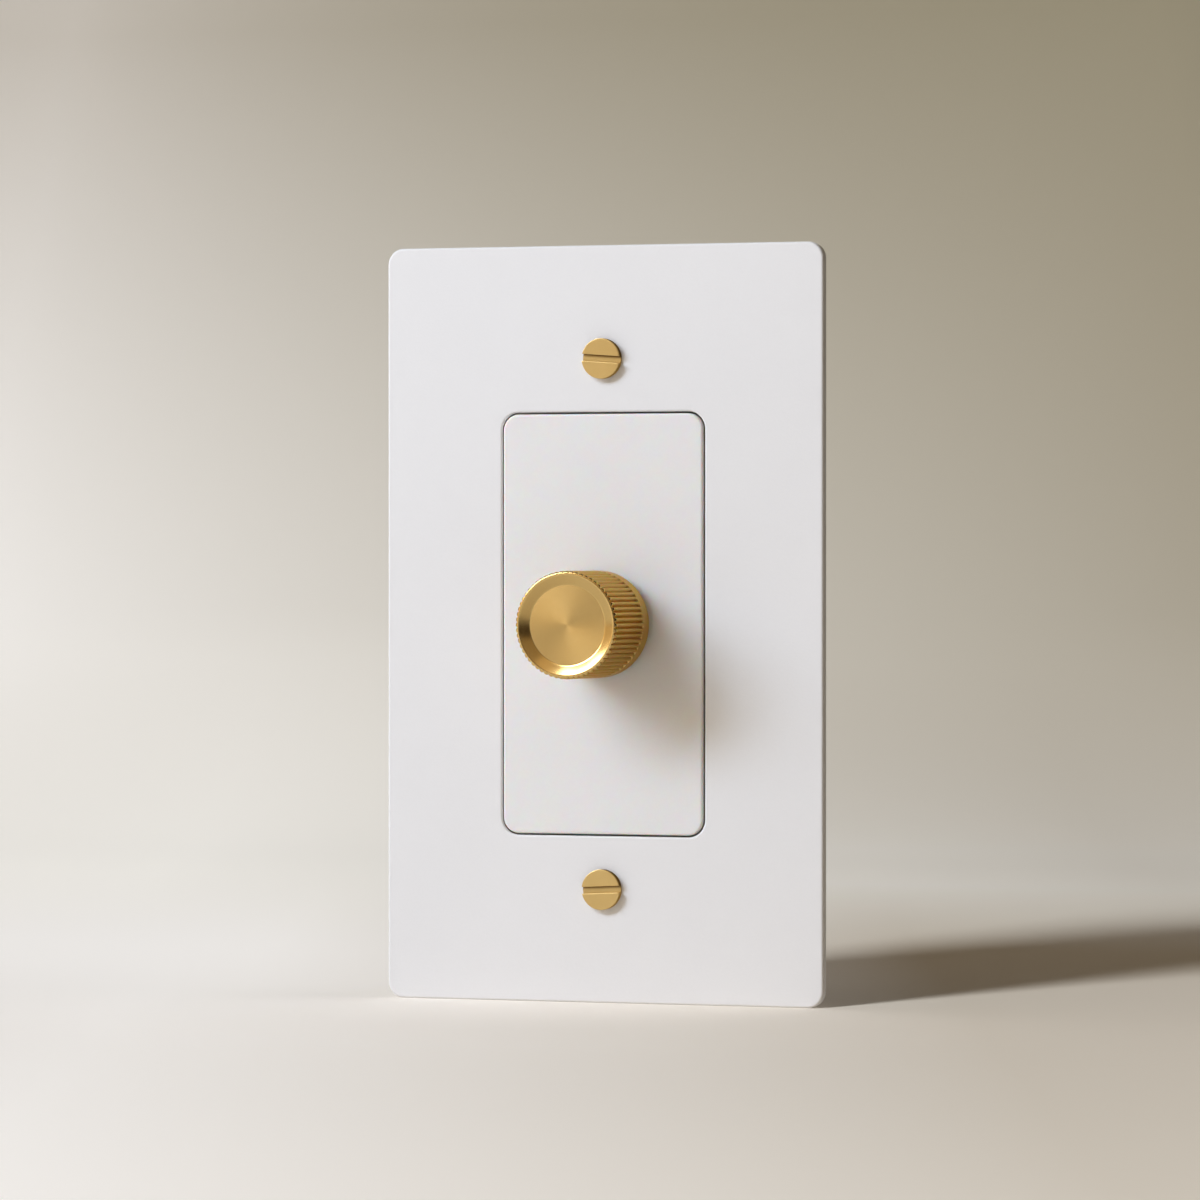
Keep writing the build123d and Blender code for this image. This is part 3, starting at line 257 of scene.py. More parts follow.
# Fuse: a white ceramic tube with a pressed nickel cap at each end. It lies in front of the board, and
# its leads are bent back and soldered there.
fuse_half = 0.0075
fuse_cap = 0.003
ceramic, shader, place = new_finish("fuse_ceramic")
from_middle = abs(place.axis("X"))
capped = from_middle > fuse_half - fuse_cap
glaze = place.noise(900.0, 3.0)
white_clay = glaze.between((0.66, 0.64, 0.58, 1), (0.76, 0.74, 0.69, 1))
capped.between(white_clay, (0.62, 0.61, 0.57, 1)).feeds(shader, "Base Color")
capped.feeds(shader, "Metallic")
(0.3 + glaze * 0.15 - capped * 0.08).feeds(shader, "Roughness")
glaze.raises(shader, 0.00002, 0.2)
dress(ceramic, "fuse")

# Film capacitor: a yellow moulded case filled with resin, on the back of the board.
# It stands on two tinned wires, which are soldered through.
case_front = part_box("circuit_board")[1].y
capacitor_case, shader, place = new_finish("capacitor_case", Coat_Weight=0.3, Coat_Roughness=0.2)
depth = place.axis("Y")
moulded = depth > case_front
cloud = place.noise(600.0, 3.0)
yellow = cloud.between((0.5, 0.27, 0.018, 1), (0.62, 0.36, 0.035, 1))
moulded.between((0.6, 0.6, 0.58, 1), yellow).feeds(shader, "Base Color")
(1 - moulded).feeds(shader, "Metallic")
(0.34 + cloud * 0.14).feeds(shader, "Roughness")
cloud.raises(shader, 0.00002, 0.25)
dress(capacitor_case, "film_capacitor")

# Choke core: a ferrite ring, pressed from powder and sintered, so that it is dark and slightly
# speckled. It lies on the back of the board inside its winding.
ferrite, shader, place = new_finish("ferrite")
sinter = place.node("TexVoronoi", {"Vector": place, "Scale": 4200.0})
sinter.between((0.012, 0.012, 0.013, 1), (0.05, 0.05, 0.052, 1)).feeds(shader, "Base Color")
(0.6 + sinter * 0.2).feeds(shader, "Roughness")
sinter.raises(shader, 0.00002, 0.4)
dress(ferrite, "choke_core")


# Choke winding: enamelled copper wire wound turn by turn through the ring, with an open gap
# between its two ends, which go straight through the board.
def box_mm(name):
    """The low and the high corner of a CAD node's box, in millimetres."""
    return [np.array(corner) * 1000 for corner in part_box(name)]


def squares(number):
    """Four-sided faces between neighbouring rows of a grid of point numbers. Each row closes on itself."""
    beside = np.roll(number, -1, axis=1)
    return np.stack([number[:-1], beside[:-1], beside[1:], number[1:]], -1).reshape(-1, 4)


def tube(path, outward, radius, sides):
    """A round wire: circles across a path's direction, one axis of each kept as near outward as it can be."""
    along = np.gradient(path, axis=0)
    along /= np.linalg.norm(along, axis=1, keepdims=True)
    first = outward - along * np.sum(outward * along, axis=1, keepdims=True)
    first /= np.linalg.norm(first, axis=1, keepdims=True)
    second = np.cross(along, first)
    turn = np.linspace(0, 2 * np.pi, sides, endpoint=False)[None, :, None]
    skin = path[:, None] + radius * (np.cos(turn) * first[:, None] + np.sin(turn) * second[:, None])
    number = np.arange(len(path) * sides).reshape(len(path), sides)
    return skin.reshape(-1, 3), [squares(number), number[:1], number[-1:]]


def joined(*shapes):
    """Several shapes as one: their points in turn, and their faces with the numbers moved on to match."""
    starts = np.cumsum([0] + [len(points) for points, _ in shapes])
    faces = [face + start for (_, group), start in zip(shapes, starts) for face in group]
    return np.concatenate([points for points, _ in shapes]), faces


def piece(name, shape, finish, body, slot, *nodes):
    """A smooth mesh from points in millimetres and faces, which replaces CAD nodes and rides on a body."""
    points, faces = shape
    mesh = bpy.data.meshes.new(name)
    corners = [face for group in faces for face in group.tolist()]
    mesh.from_pydata((points * mm).tolist(), [], corners)
    shell = bmesh.new()
    shell.from_mesh(mesh)
    bmesh.ops.remove_doubles(shell, verts=shell.verts, dist=1e-8)
    bmesh.ops.recalc_face_normals(shell, faces=shell.faces)
    shell.to_mesh(mesh)
    shell.free()
    mesh.polygons.foreach_set("use_smooth", np.ones(len(mesh.polygons), bool))
    mesh.set_sharp_from_angle(angle=np.radians(38))
    mesh.materials.append(finish)
    made = bpy.data.objects.new(name, mesh)
    bpy.context.scene.collection.objects.link(made)
    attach(made, body)
    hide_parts(*nodes)
    return made


mm = 0.001
core_low, core_high = box_mm("choke_core")
core_middle = (core_low + core_high) / 2
core_outer = (core_high[0] - core_low[0]) / 2
core_inner = 3.25
wire_radius = 0.42
wire_stand = wire_radius + 0.06
wire_turns = 15
wire_sides = 8
turn_steps = 40
turn_squareness = 0.5
winding_ends = np.radians((14, 306))
lead_places = np.radians((25, 295))
lead_steps = 6
lead_reach = 1.1
board_front = box_mm("circuit_board")[0][1]
core_mean = (core_outer + core_inner) / 2
round_ring = np.linspace(*winding_ends, wire_turns * turn_steps)
round_core = np.linspace(0, 2 * np.pi * wire_turns, wire_turns * turn_steps)
squared_cos = np.sign(np.cos(round_core)) * np.abs(np.cos(round_core)) ** turn_squareness
squared_sin = np.sign(np.sin(round_core)) * np.abs(np.sin(round_core)) ** turn_squareness
ring_radius = core_mean + ((core_outer - core_inner) / 2 + wire_stand) * squared_cos
ring_depth = ((core_high[1] - core_low[1]) / 2 + wire_stand) * squared_sin
ring_out = np.stack([-np.sin(round_ring), 0 * round_ring, -np.cos(round_ring)], 1)
wound = core_middle + ring_radius[:, None] * ring_out
wound[:, 1] += ring_depth
from_core = squared_cos[:, None] * ring_out + squared_sin[:, None] * np.array([0, 1, 0])
winding = [tube(wound, from_core, wire_radius, wire_sides)]
for lead_turn in lead_places:
    lead_foot = core_middle + core_mean * np.array([-np.sin(lead_turn), 0, -np.cos(lead_turn)])
    lead_path = np.repeat(lead_foot[None], lead_steps, axis=0)
    lead_path[:, 1] = np.linspace(board_front - lead_reach, core_low[1] - wire_stand, lead_steps)
    winding.append(tube(lead_path, np.tile([1.0, 0.0, 0.0], (lead_steps, 1)), wire_radius, wire_sides))
enamel, shader, place = new_finish("enamelled_copper", Metallic=1.0, Coat_Weight=0.6, Coat_Roughness=0.1)
drawn = place.noise(1400.0, 3.0)
drawn.between((0.42, 0.12, 0.04, 1), (0.6, 0.22, 0.09, 1)).feeds(shader, "Base Color")
(0.22 + drawn * 0.14).feeds(shader, "Roughness")
piece("copper_winding", joined(*winding), enamel, "base", "copper_wire", "choke_winding")

# Push switch case and back housing: black glass filled mouldings with a spark eroded texture,
# a fine even pebble that scatters the light. The housing is screwed to the back of the yoke.
black_moulding, shader, place = new_finish("black_moulding")
spark = place.noise(2600.0, 4.0, Roughness=0.6)
worn = place.noise(130.0, 5.0)
worn.between((0.017, 0.017, 0.018, 1), (0.03, 0.03, 0.031, 1)).feeds(shader, "Base Color")
(0.46 + spark * 0.16 + worn * 0.08).feeds(shader, "Roughness")
spark.raises(shader, 0.00003, 0.7)
dress(black_moulding, "switch_case", "back_housing")

# Return spring: a coil of hard drawn wire with closed end turns, held between the contact bridge
# and the base of the switch. It shortens as the knob is pushed.
spring_low, spring_high = box_mm("return_spring")
spring_wire = 0.4
spring_turns = 5.5
closed_turns = 0.9
closed_rise = spring_wire * 1.4
coil_steps = 260
coil_sides = 10
coil_radius = (spring_high[0] - spring_low[0] - spring_wire) / 2
coil_turn = np.linspace(0, spring_turns, coil_steps)
coil_rise = np.interp(
    coil_turn,
    [0, closed_turns, spring_turns - closed_turns, spring_turns],
    [spring_low[1] + spring_wire / 2, spring_low[1] + closed_rise,
     spring_high[1] - closed_rise, spring_high[1] - spring_wire / 2],
)
coil_out = np.stack([np.cos(2 * np.pi * coil_turn), 0 * coil_turn, np.sin(2 * np.pi * coil_turn)], 1)
coil_path = coil_radius * coil_out
coil_path[:, 1] = coil_rise
spring_steel, shader, place = new_finish("spring_wire", Metallic=1.0)
drawing = place.noise(1800.0, 2.0)
drawing.between((0.4, 0.4, 0.41, 1), (0.56, 0.56, 0.56, 1)).feeds(shader, "Base Color")
(0.24 + drawing * 0.16).feeds(shader, "Roughness")
coil = tube(coil_path, coil_out, spring_wire / 2, coil_sides)
spring = piece("coil_spring", coil, spring_steel, "base", "plated_steel", "return_spring")
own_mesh(spring)

# Power transistor: an epoxy body moulded on a tinned copper tab, with three tinned leads. A thin
# filled rubber pad keeps it apart from the yoke, and a screw and nut press it there.
tab_foot = 0.0232
body_foot = 0.0142
power_epoxy, shader, place = new_finish("transistor_epoxy")
height = place.axis("Z")
metal = 1 - (height > body_foot) + (height > tab_foot)
gritty = place.noise(4200.0, 3.0)
resin = gritty.between((0.013, 0.013, 0.014, 1), (0.028, 0.028, 0.029, 1))
metal.between(resin, (0.55, 0.55, 0.54, 1)).feeds(shader, "Base Color")
metal.feeds(shader, "Metallic")
(0.5 - metal * 0.16 + gritty * 0.12).feeds(shader, "Roughness")
gritty.raises(shader, 0.00001, 0.4)
dress(power_epoxy, "power_transistor")
pad_rubber, shader, place = new_finish("heat_pad")
filler = place.noise(3000.0, 3.0)
filler.between((0.15, 0.165, 0.19, 1), (0.22, 0.24, 0.265, 1)).feeds(shader, "Base Color")
(0.6 + filler * 0.2).feeds(shader, "Roughness")
filler.raises(shader, 0.00001, 0.4)
dress(pad_rubber, "insulating_pad")

# Earth screw: a hexagon headed steel screw in the ear of the yoke, coated green, with the plating
# showing through where a driver has rubbed.
earth_green, shader, place = new_finish("earth_green", Coat_Weight=0.3)
rubbed = place.noise(800.0, 6.0, Roughness=0.65)
bare = rubbed > 0.62
coat = rubbed.between((0.01, 0.1, 0.025, 1), (0.025, 0.2, 0.055, 1))
bare.between(coat, (0.5, 0.51, 0.5, 1)).feeds(shader, "Base Color")
(bare * 0.9).feeds(shader, "Metallic")
(0.36 + rubbed * 0.16).feeds(shader, "Roughness")
rubbed.raises(shader, 0.00002, 0.3)
dress(earth_green, "earth_screw")


# Face insert: a white moulded cover with a fine matte texture. It stands on the yoke by four
# hooked legs, fills the opening of the plate and has a round hole for the shaft.
def rounded_loop(width, height, radius, corner=12, side=16):
    """Outline of a rounded rectangle: four quarter circles, each followed by the straight side after it."""
    quarter = np.arange(4)[:, None]
    turn = (quarter + np.linspace(0, 1, corner + 1)) * np.pi / 2
    middle = np.stack([(width / 2 - radius) * np.array([1, -1, -1, 1]),
                       (height / 2 - radius) * np.array([1, 1, -1, -1])], 1)
    arc = middle[:, None] + radius * np.stack([np.cos(turn), np.sin(turn)], -1)
    share = np.linspace(0, 1, side + 1)[1:-1, None]
    straight = arc[:, -1:] * (1 - share) + np.roll(arc, -1, axis=0)[:, :1] * share
    return np.concatenate([arc, straight], 1).reshape(-1, 2)


def at_depth(loop, depth):
    """A flat outline in X and Z set at a depth along Y."""
    return np.stack([loop[:, 0], np.full(len(loop), depth), loop[:, 1]], 1)


insert_low, insert_high = box_mm("face_insert")
insert_width = 33.4
insert_height = insert_high[2] - insert_low[2]
insert_corner = 2.5
insert_edge = 0.35
insert_back = 3.5
front_wall = 1.8
side_wall = 1.6
shaft_hole = 3.35
hole_edge = 0.12
insert_front = insert_low[1]
front_shares = (0.06, 0.25, 0.5, 0.75, 0.92, 0.985)
back_shares = (0.7, 0.3)


def insert_loop(inset):
    """The insert's outline, moved inwards by inset."""
    return rounded_loop(insert_width - 2 * inset, insert_height - 2 * inset, insert_corner - inset)


outer = insert_loop(0)
inner = insert_loop(side_wall)
front_face = insert_loop(insert_edge)
hole = shaft_hole * outer / np.linalg.norm(outer, axis=1, keepdims=True)
loops = [at_depth(hole, insert_front + front_wall), at_depth(hole, insert_front + hole_edge)]
loops.append(at_depth(hole * (1 + hole_edge / shaft_hole), insert_front))
for share in front_shares:
    loops.append(at_depth(hole + share * (front_face - hole), insert_front))
for turn in np.radians(np.linspace(90, 0, 8)):
    rim = insert_loop(insert_edge * (1 - np.cos(turn)))
    loops.append(at_depth(rim, insert_front + insert_edge * (1 - np.sin(turn))))
loops.append(at_depth(outer, insert_back))
loops.append(at_depth(inner, insert_back))
loops.append(at_depth(inner, insert_front + front_wall))
for share in back_shares:
    loops.append(at_depth(hole + share * (inner - hole), insert_front + front_wall))
number = np.arange(len(loops) * len(outer)).reshape(len(loops), len(outer))
cover = np.concatenate(loops), [squares(np.vstack([number, number[:1]]))]
leg_out = insert_width / 2
leg_in = leg_out - side_wall
hook_face = 5.1
hook_reach = insert_high[0] - leg_out
leg_end = insert_high[1]
leg_profile = np.array([
    (leg_in, insert_back), (leg_out, insert_back), (leg_out, hook_face),
    (leg_out + hook_reach, hook_face), (leg_out - hook_reach / 2, leg_end), (leg_in, leg_end),
])
leg_number = np.arange(2 * len(leg_profile)).reshape(2, -1)
leg_ends = (18.45, 24.6)
legs = []
for side in (1, -1):
    for level in (1, -1):
        flat = leg_profile * (side, 1)
        ends = [np.column_stack([flat, np.full(len(flat), level * end)]) for end in leg_ends]
        legs.append((np.concatenate(ends), [squares(leg_number), leg_number[:1], leg_number[1:]]))
insert_shade_start = insert_front + 0.75
insert_shade_end = insert_front + 1.7
moulded_white, shader, place = new_finish(
    "moulded_white", IOR=1.48, Subsurface_Weight=0.5, Subsurface_Scale=0.0012
)
matte = place.noise(3600.0, 3.0, Roughness=0.6)
shading = place.noise(60.0, 2.0)
inwards = place.axis("Y")
# Painted shade: a band of the insert's side wall, down in the gap beside the plate, is coloured dull grey
# brown.
insert_gap_shade = (inwards > insert_shade_start * mm) * (1 - (inwards > insert_shade_end * mm))
white = (shading * 0.5 + matte * 0.5).between((0.78, 0.769, 0.76, 1), (0.84, 0.827, 0.814, 1))
insert_gap_shade.between(white, (0.55, 0.52, 0.47, 1)).feeds(shader, "Base Color")
(0.5 + matte * 0.14).feeds(shader, "Roughness")
matte.raises(shader, 0.00002, 0.35)
piece("insert_cover", joined(cover, *legs), moulded_white, "base", "moulded_white", "face_insert")

# Wall plate: a flat sheet of aluminium, punched, rounded along its front edges and powder coated
# white. The coat has a fine even grain. Two screws hold it against the yoke and the wall.
plate_low, plate_high = box_mm("wall_plate")
plate_back = plate_high[1]
plate_front = plate_low[1]
plate_width = plate_high[0] - plate_low[0]
plate_height = plate_high[2] - plate_low[2]
plate_corner = 2.6
plate_edge = 0.35
insert_gap = 0.3
screw_level = 41.67
screw_hole = 2.0
opening_corner = insert_corner + insert_gap
spread = np.array([0, 0.004, 0.1, 0.2, 0.31, 0.42, 0.55, 0.7, 0.85, 0.996, 1])


def plate_edge_loop(inset):
    """The plate's outline, moved inwards by inset."""
    return rounded_loop(plate_width - 2 * inset, plate_height - 2 * inset, plate_corner - inset)


def opening_loop(inset):
    """The outline of the plate's opening, moved outwards by inset."""
    return rounded_loop(insert_width + 2 * insert_gap + 2 * inset, insert_height + 2 * insert_gap + 2 * inset,
                        opening_corner + inset)


def face_loops(low, high, depth):
    """Outlines on a flat face at a depth, which go from one outline to another by the shares in spread."""
    return [at_depth(low + share * (high - low), depth) for share in spread]


rounding = np.radians(np.linspace(0, 90, 8))[:-1]
edge_inset = plate_edge * (1 - np.cos(rounding))
edge_depth = plate_front + plate_edge * (1 - np.sin(rounding))
loops = face_loops(opening_loop(0), plate_edge_loop(0), plate_back)[::-1]
loops += map(at_depth, map(opening_loop, edge_inset), edge_depth)
front_start = len(loops)
loops += face_loops(opening_loop(plate_edge), plate_edge_loop(plate_edge), plate_front)
loops += map(at_depth, map(plate_edge_loop, edge_inset[::-1]), edge_depth[::-1])
sheet_points = np.concatenate(loops)
columns = len(loops[0])
number = np.arange(len(loops) * columns).reshape(len(loops), columns)
kept = np.ones((len(loops), columns), bool)
sheet_faces = squares(np.vstack([number, number[:1]])).reshape(len(loops), columns, 4)
hole_shapes = []
hole_rows = np.arange(2, 7)
hole_columns = np.arange(18, 23)
back_rows = len(spread) - 1 - hole_rows
front_rows = front_start + hole_rows
for across_columns, level in ((hole_columns, screw_level), (hole_columns + columns // 2, -screw_level)):
    kept[np.ix_(front_rows[:-1], across_columns[:-1])] = False
    kept[np.ix_(back_rows[1:], across_columns[:-1])] = False
    rings = []
    for rows, depth in ((front_rows, plate_front), (back_rows, plate_back)):
        border = np.concatenate([
            number[rows[0], across_columns],
            number[rows[1:], across_columns[-1]],
            number[rows[-1], across_columns[-2::-1]],
            number[rows[-2:0:-1], across_columns[0]],
        ])
        edge = sheet_points[border]
        turn = np.arctan2(edge[:, 2] - level, edge[:, 0])
        circle = at_depth(np.stack([np.cos(turn), np.sin(turn)], 1) * screw_hole + (0, level), depth)
        rings.append((edge, (edge + circle) / 2, circle))
    hole_points = np.concatenate([*rings[0], *rings[1][::-1]])
    hole_number = np.arange(len(hole_points)).reshape(6, -1)
    hole_shapes.append((hole_points, [squares(hole_number)]))
sheet = sheet_points, [sheet_faces[kept]]
# Painted shade: the wall of the plate's opening is coloured dark brown from a little behind the front face,
# down the gap round the insert.
gap_wall_shade_start = plate_front + 0.38
gap_wall_shade_end = plate_front + 0.6
gap_wall_shade_across = 18.0
gap_wall_shade_along = 34.5
powder_white, shader, place = new_finish("powder_white", IOR=1.5)
grit = place.noise(2600.0, 4.0, Roughness=0.65)
drift = place.noise(45.0, 2.0)
beside = 1 - (abs(place.axis("X")) > gap_wall_shade_across * mm)
level_with = 1 - (abs(place.axis("Z")) > gap_wall_shade_along * mm)
gap_wall_shade = place.axis("Y").ramp(gap_wall_shade_start * mm, gap_wall_shade_end * mm) * beside * level_with
white = (drift * 0.5 + grit * 0.5).between((0.78, 0.77, 0.764, 1), (0.84, 0.829, 0.818, 1))
gap_wall_shade.between(white, (0.13, 0.09, 0.055, 1)).feeds(shader, "Base Color")
(0.52 + grit * 0.16).feeds(shader, "Roughness")
grit.raises(shader, 0.00003, 0.5)
piece("coated_plate", joined(sheet, *hole_shapes), powder_white, "base", "coated_white", "wall_plate")

# Plate screws: turned from brass with flat slotted heads, faced on the lathe, and lacquered. Below
# a thin neck the thread is cut for the ears of the wall box.
screw_low, screw_high = box_mm("plate_screws")
head_front = screw_low[1]
head_radius = (screw_high[0] - screw_low[0]) / 2
head_edge = 0.09
slot_half = 0.525
slot_depth = 0.7
neck_radius = 1.4
thread_radius = 1.75
thread_depth = 0.3
thread_pitch = 0.794
thread_flank = 1.25
thread_crest = 0.15
thread_sides = 48
neck_slope = 0.8
point_chamfer = 0.5
face_inset = 0.03
slot_tilts = (-3.9, 3.0)
arc_points = 40
chord_points = 20


def turned(radius, depth, level=0):
    """A surface turned about Y: radius by row and column, and depth by row, with the columns spread round."""
    turn = np.linspace(0, 2 * np.pi, radius.shape[1], endpoint=False)
    points = np.stack([radius * np.cos(turn), depth + 0 * radius, level + radius * np.sin(turn)], -1)
    return points.reshape(-1, 3), [squares(np.arange(radius.size).reshape(radius.shape))]


def half_head(inset, depth):
    """One side of a slotted head, a circle cut along the slot's edge, moved inwards by inset."""
    radius = head_radius - inset
    edge = slot_half + inset
    reach = np.arcsin(edge / radius)
    arc = np.linspace(reach, np.pi - reach, arc_points)
    chord = np.linspace(-1, 1, chord_points + 2)[1:-1] * radius * np.cos(reach)
    flat = np.stack([np.concatenate([radius * np.cos(arc), chord]),
                     np.concatenate([radius * np.sin(arc), np.full(chord_points, edge)])], 1)
    return at_depth(flat, depth)


thread_rows = np.arange(0, screw_high[1] + 0.01, thread_pitch / 10)
thread_turn = np.linspace(0, 1, thread_sides, endpoint=False)
thread_wave = np.abs(2 * ((thread_rows[:, None] / thread_pitch - thread_turn) % 1) - 1)
thread_skin = thread_radius - thread_depth * np.clip(thread_flank * thread_wave - thread_crest, 0, 1)
point_skin = thread_radius - point_chamfer + np.clip(screw_high[1] - thread_rows, 0, 1)
neck_skin = neck_radius + thread_rows * neck_slope
thread_skin = np.minimum(thread_skin, np.minimum(point_skin, neck_skin)[:, None])
shank_depth = np.concatenate([
    [head_front + slot_depth] * 2, [plate_front] * 2, [0], thread_rows, thread_rows[-1:],
])[:, None]
shank_radius = np.concatenate([
    np.zeros((1, thread_sides)),
    np.full((2, thread_sides), head_radius),
    np.full((2, thread_sides), neck_radius),
    thread_skin,
    np.zeros((1, thread_sides)),
])
screws = []
for level, tilt in zip((screw_level, -screw_level), slot_tilts):
    screws.append(turned(shank_radius, shank_depth, level))
    for side in (0, 180):
        rings = [half_head(0, head_front + slot_depth), half_head(0, head_front + head_edge)]
        for turn in np.radians((30, 60, 90)):
            inset = head_edge * (1 - np.cos(turn))
            rings.append(half_head(inset, head_front + head_edge * (1 - np.sin(turn))))
        rings.append(half_head(head_edge + face_inset, head_front))
        swing = np.radians(tilt + side)
        spin = np.array([[np.cos(swing), 0, np.sin(swing)], [0, 1, 0], [-np.sin(swing), 0, np.cos(swing)]])
        half_number = np.arange(len(rings) * len(rings[0])).reshape(len(rings), -1)
        half_points = np.concatenate(rings) @ spin + np.array([0, 0, level])
        screws.append((half_points, [squares(half_number), half_number[:1], half_number[-1:]]))
# Painted shadow: inside the slot the brass is coloured dark brown and made rougher, most strongly next to the
# slot's upper wall, as the shadow that wall casts.
slot_start = head_front + 0.12
upper_lean, lower_lean = -np.tan(np.radians(slot_tilts))
mean_lean = (upper_lean + lower_lean) / 2
lean_change = (upper_lean - lower_lean) / 2
screw_brass, shader, place = new_finish("screw_brass", Metallic=1.0, Specular_Tint=(0.95, 0.75, 0.45, 1))
height = place.axis("Z")
which = place.node("Math", {0: height}, operation="SIGN")
lean = which * lean_change + mean_lean
from_slot = height - which * (screw_level * mm) + place.axis("X") * lean
in_slot = place.axis("Y") > slot_start * mm
upper_corner = from_slot.ramp(0.00005, slot_half * mm, 0.1, 1.0)
slot_shadow = in_slot * upper_corner
satin = place.noise(6500.0, 3.0)
tone = place.noise(260.0, 3.0)
gold = tone.between((0.6, 0.42, 0.165, 1), (0.66, 0.475, 0.2, 1))
slot_shadow.between(gold, (0.14, 0.075, 0.025, 1)).feeds(shader, "Base Color")
(0.25 + satin * 0.14 + slot_shadow * 0.15).feeds(shader, "Roughness")
satin.raises(shader, 0.00001, 0.3)
piece("brass_screws", joined(*screws), screw_brass, "base", "turned_brass", "plate_screws")

# Knob: turned from brass bar, straight knurled up to a plain ring at its back, with a bright bevel
# and a spun dish in front. Its bore has a flat and slides on the front end of the shaft.
knob_low, knob_high = box_mm("knob")
knob_back = knob_high[1]
knob_front = knob_low[1]
knob_radius = 8.4
rib_count = 60
rib_steps = 10
groove_depth = 0.36
groove_slope = 1.2
back_ring = 2.8
back_chamfer = 0.3
front_bevel = 0.45
rim_width = 0.6
dish_slope = 1.6
slope_steepness = 1.06
slope_bow = 0.03
dish_depth = 0.75
bore_end = knob_front + dish_depth + 2.2
bore_radius = 3.04
bore_flat = 1.54
grub_depth = -10.0
grub_hole = 1.55
pit_floor = 4.6
run_out_length = 0.35
floor_gap = 0.03
floor_rings = 208
floor_columns = 150
ridge_height = 0.008
ridge_rings = 4
ridge_phase = 0.6
columns = rib_count * rib_steps
knob_turn = np.linspace(0, 2 * np.pi, columns, endpoint=False)
below = -np.sin(knob_turn)
rib_place = (np.arange(columns) % rib_steps) / rib_steps
rib_distance = np.abs(rib_place - 0.5) * 2 * np.pi * knob_radius / rib_count
groove = np.clip(groove_depth - groove_slope * rib_distance, 0, groove_depth)
bore = np.where(below > bore_flat / bore_radius, bore_flat / np.maximum(below, 0.1), bore_radius)
ring_front = knob_back - back_ring
side_depth = np.concatenate([
    np.linspace(knob_back - back_chamfer, ring_front + 0.02, 6),
    np.linspace(ring_front, ring_front - 0.4, 9),
    np.linspace(ring_front - 0.5, grub_depth + grub_hole + 0.1, 5),
    np.linspace(grub_depth + grub_hole, grub_depth - grub_hole, 25),
    np.linspace(grub_depth - grub_hole - 0.1, knob_front + front_bevel + 0.05, 8),
])
before_ring = np.clip((ring_front - side_depth) / run_out_length, 0, 1)
run_out = np.sqrt(1 - (1 - before_ring) ** 2)
side_radius = knob_radius - run_out[:, None] * groove
in_pit = np.hypot(knob_radius * np.cos(knob_turn), side_depth[:, None] - grub_depth) < grub_hole
side_radius = np.where(in_pit & (below > 0), pit_floor, side_radius)
bevel_turn = np.radians(np.linspace(0, 90, 10))
bevel_radius = knob_radius - front_bevel * (1 - np.cos(bevel_turn))
bevel_depth = knob_front + front_bevel * (1 - np.sin(bevel_turn))
bevel_skin = np.minimum(bevel_radius[:, None], knob_radius - groove)
slope_share = np.linspace(0, 1, 12)
slope_radius = knob_radius - rim_width - dish_slope * slope_share
slope_fall = slope_steepness * slope_share - slope_bow * np.sin(np.pi * slope_share)
slope_depth = knob_front + dish_depth * np.clip(slope_fall, 0, 1)
knob_rows = [np.zeros((1, columns)), bore[None], bore[None]]
knob_rows.append(np.full((1, columns), knob_radius - back_chamfer))
knob_rows += [side_radius, bevel_skin, np.repeat(slope_radius[:, None], columns, axis=1)]
knob_depth = np.concatenate([[bore_end] * 2, [knob_back] * 2, side_depth, bevel_depth, slope_depth])
knob_body, knob_faces = turned(np.concatenate(knob_rows), knob_depth[:, None])
floor_step = columns // floor_columns
floor_radius = np.linspace(slope_radius[-1] - floor_gap, 0.0, floor_rings)
ring_number = np.arange(floor_rings)
ridge_share = 0.85 + 0.15 * np.random.default_rng(7).random(60)
ring_height = ridge_height * ridge_share[ring_number // ridge_rings]
ring_wave = np.sin(ring_number * 2 * np.pi / ridge_rings + ridge_phase)
floor_depth = knob_front + dish_depth + ring_height * ring_wave
floor_depth[-1] = knob_front + dish_depth
floor_grid = np.repeat(floor_radius[:, None], floor_columns, axis=1)
floor_points, floor_faces = turned(floor_grid, floor_depth[:, None])
first_floor = len(knob_body)
last_ring = first_floor - columns + np.arange(columns)
floor_ring = first_floor + np.arange(floor_columns)
slope_part = last_ring.reshape(floor_columns, floor_step)
floor_part = np.stack([np.roll(floor_ring, -1), floor_ring], 1)
fan = np.concatenate([slope_part, np.roll(slope_part[:, :1], -1, axis=0), floor_part], 1)
floor_faces = [face + first_floor for face in floor_faces]
knob_shape = np.concatenate([knob_body, floor_points]), [*knob_faces, *floor_faces, fan]
dish_end = knob_front + dish_depth + 0.05
knob_brass, shader, place = new_finish("knob_brass", Metallic=1.0, Specular_Tint=(0.95, 0.75, 0.45, 1))
inwards = place.axis("Y")
flat_place = place.node("VectorMath", {0: place, 1: (1.0, 0.0, 1.0)}, operation="MULTIPLY")
from_axis = place.node("VectorMath", {0: flat_place}, out="Value", operation="LENGTH")
front = 1 - (inwards > dish_end * mm)
floor = front * (1 - (from_axis > slope_radius[-1] * mm))
knurled = (1 - front) * (1 - (inwards > ring_front * mm))
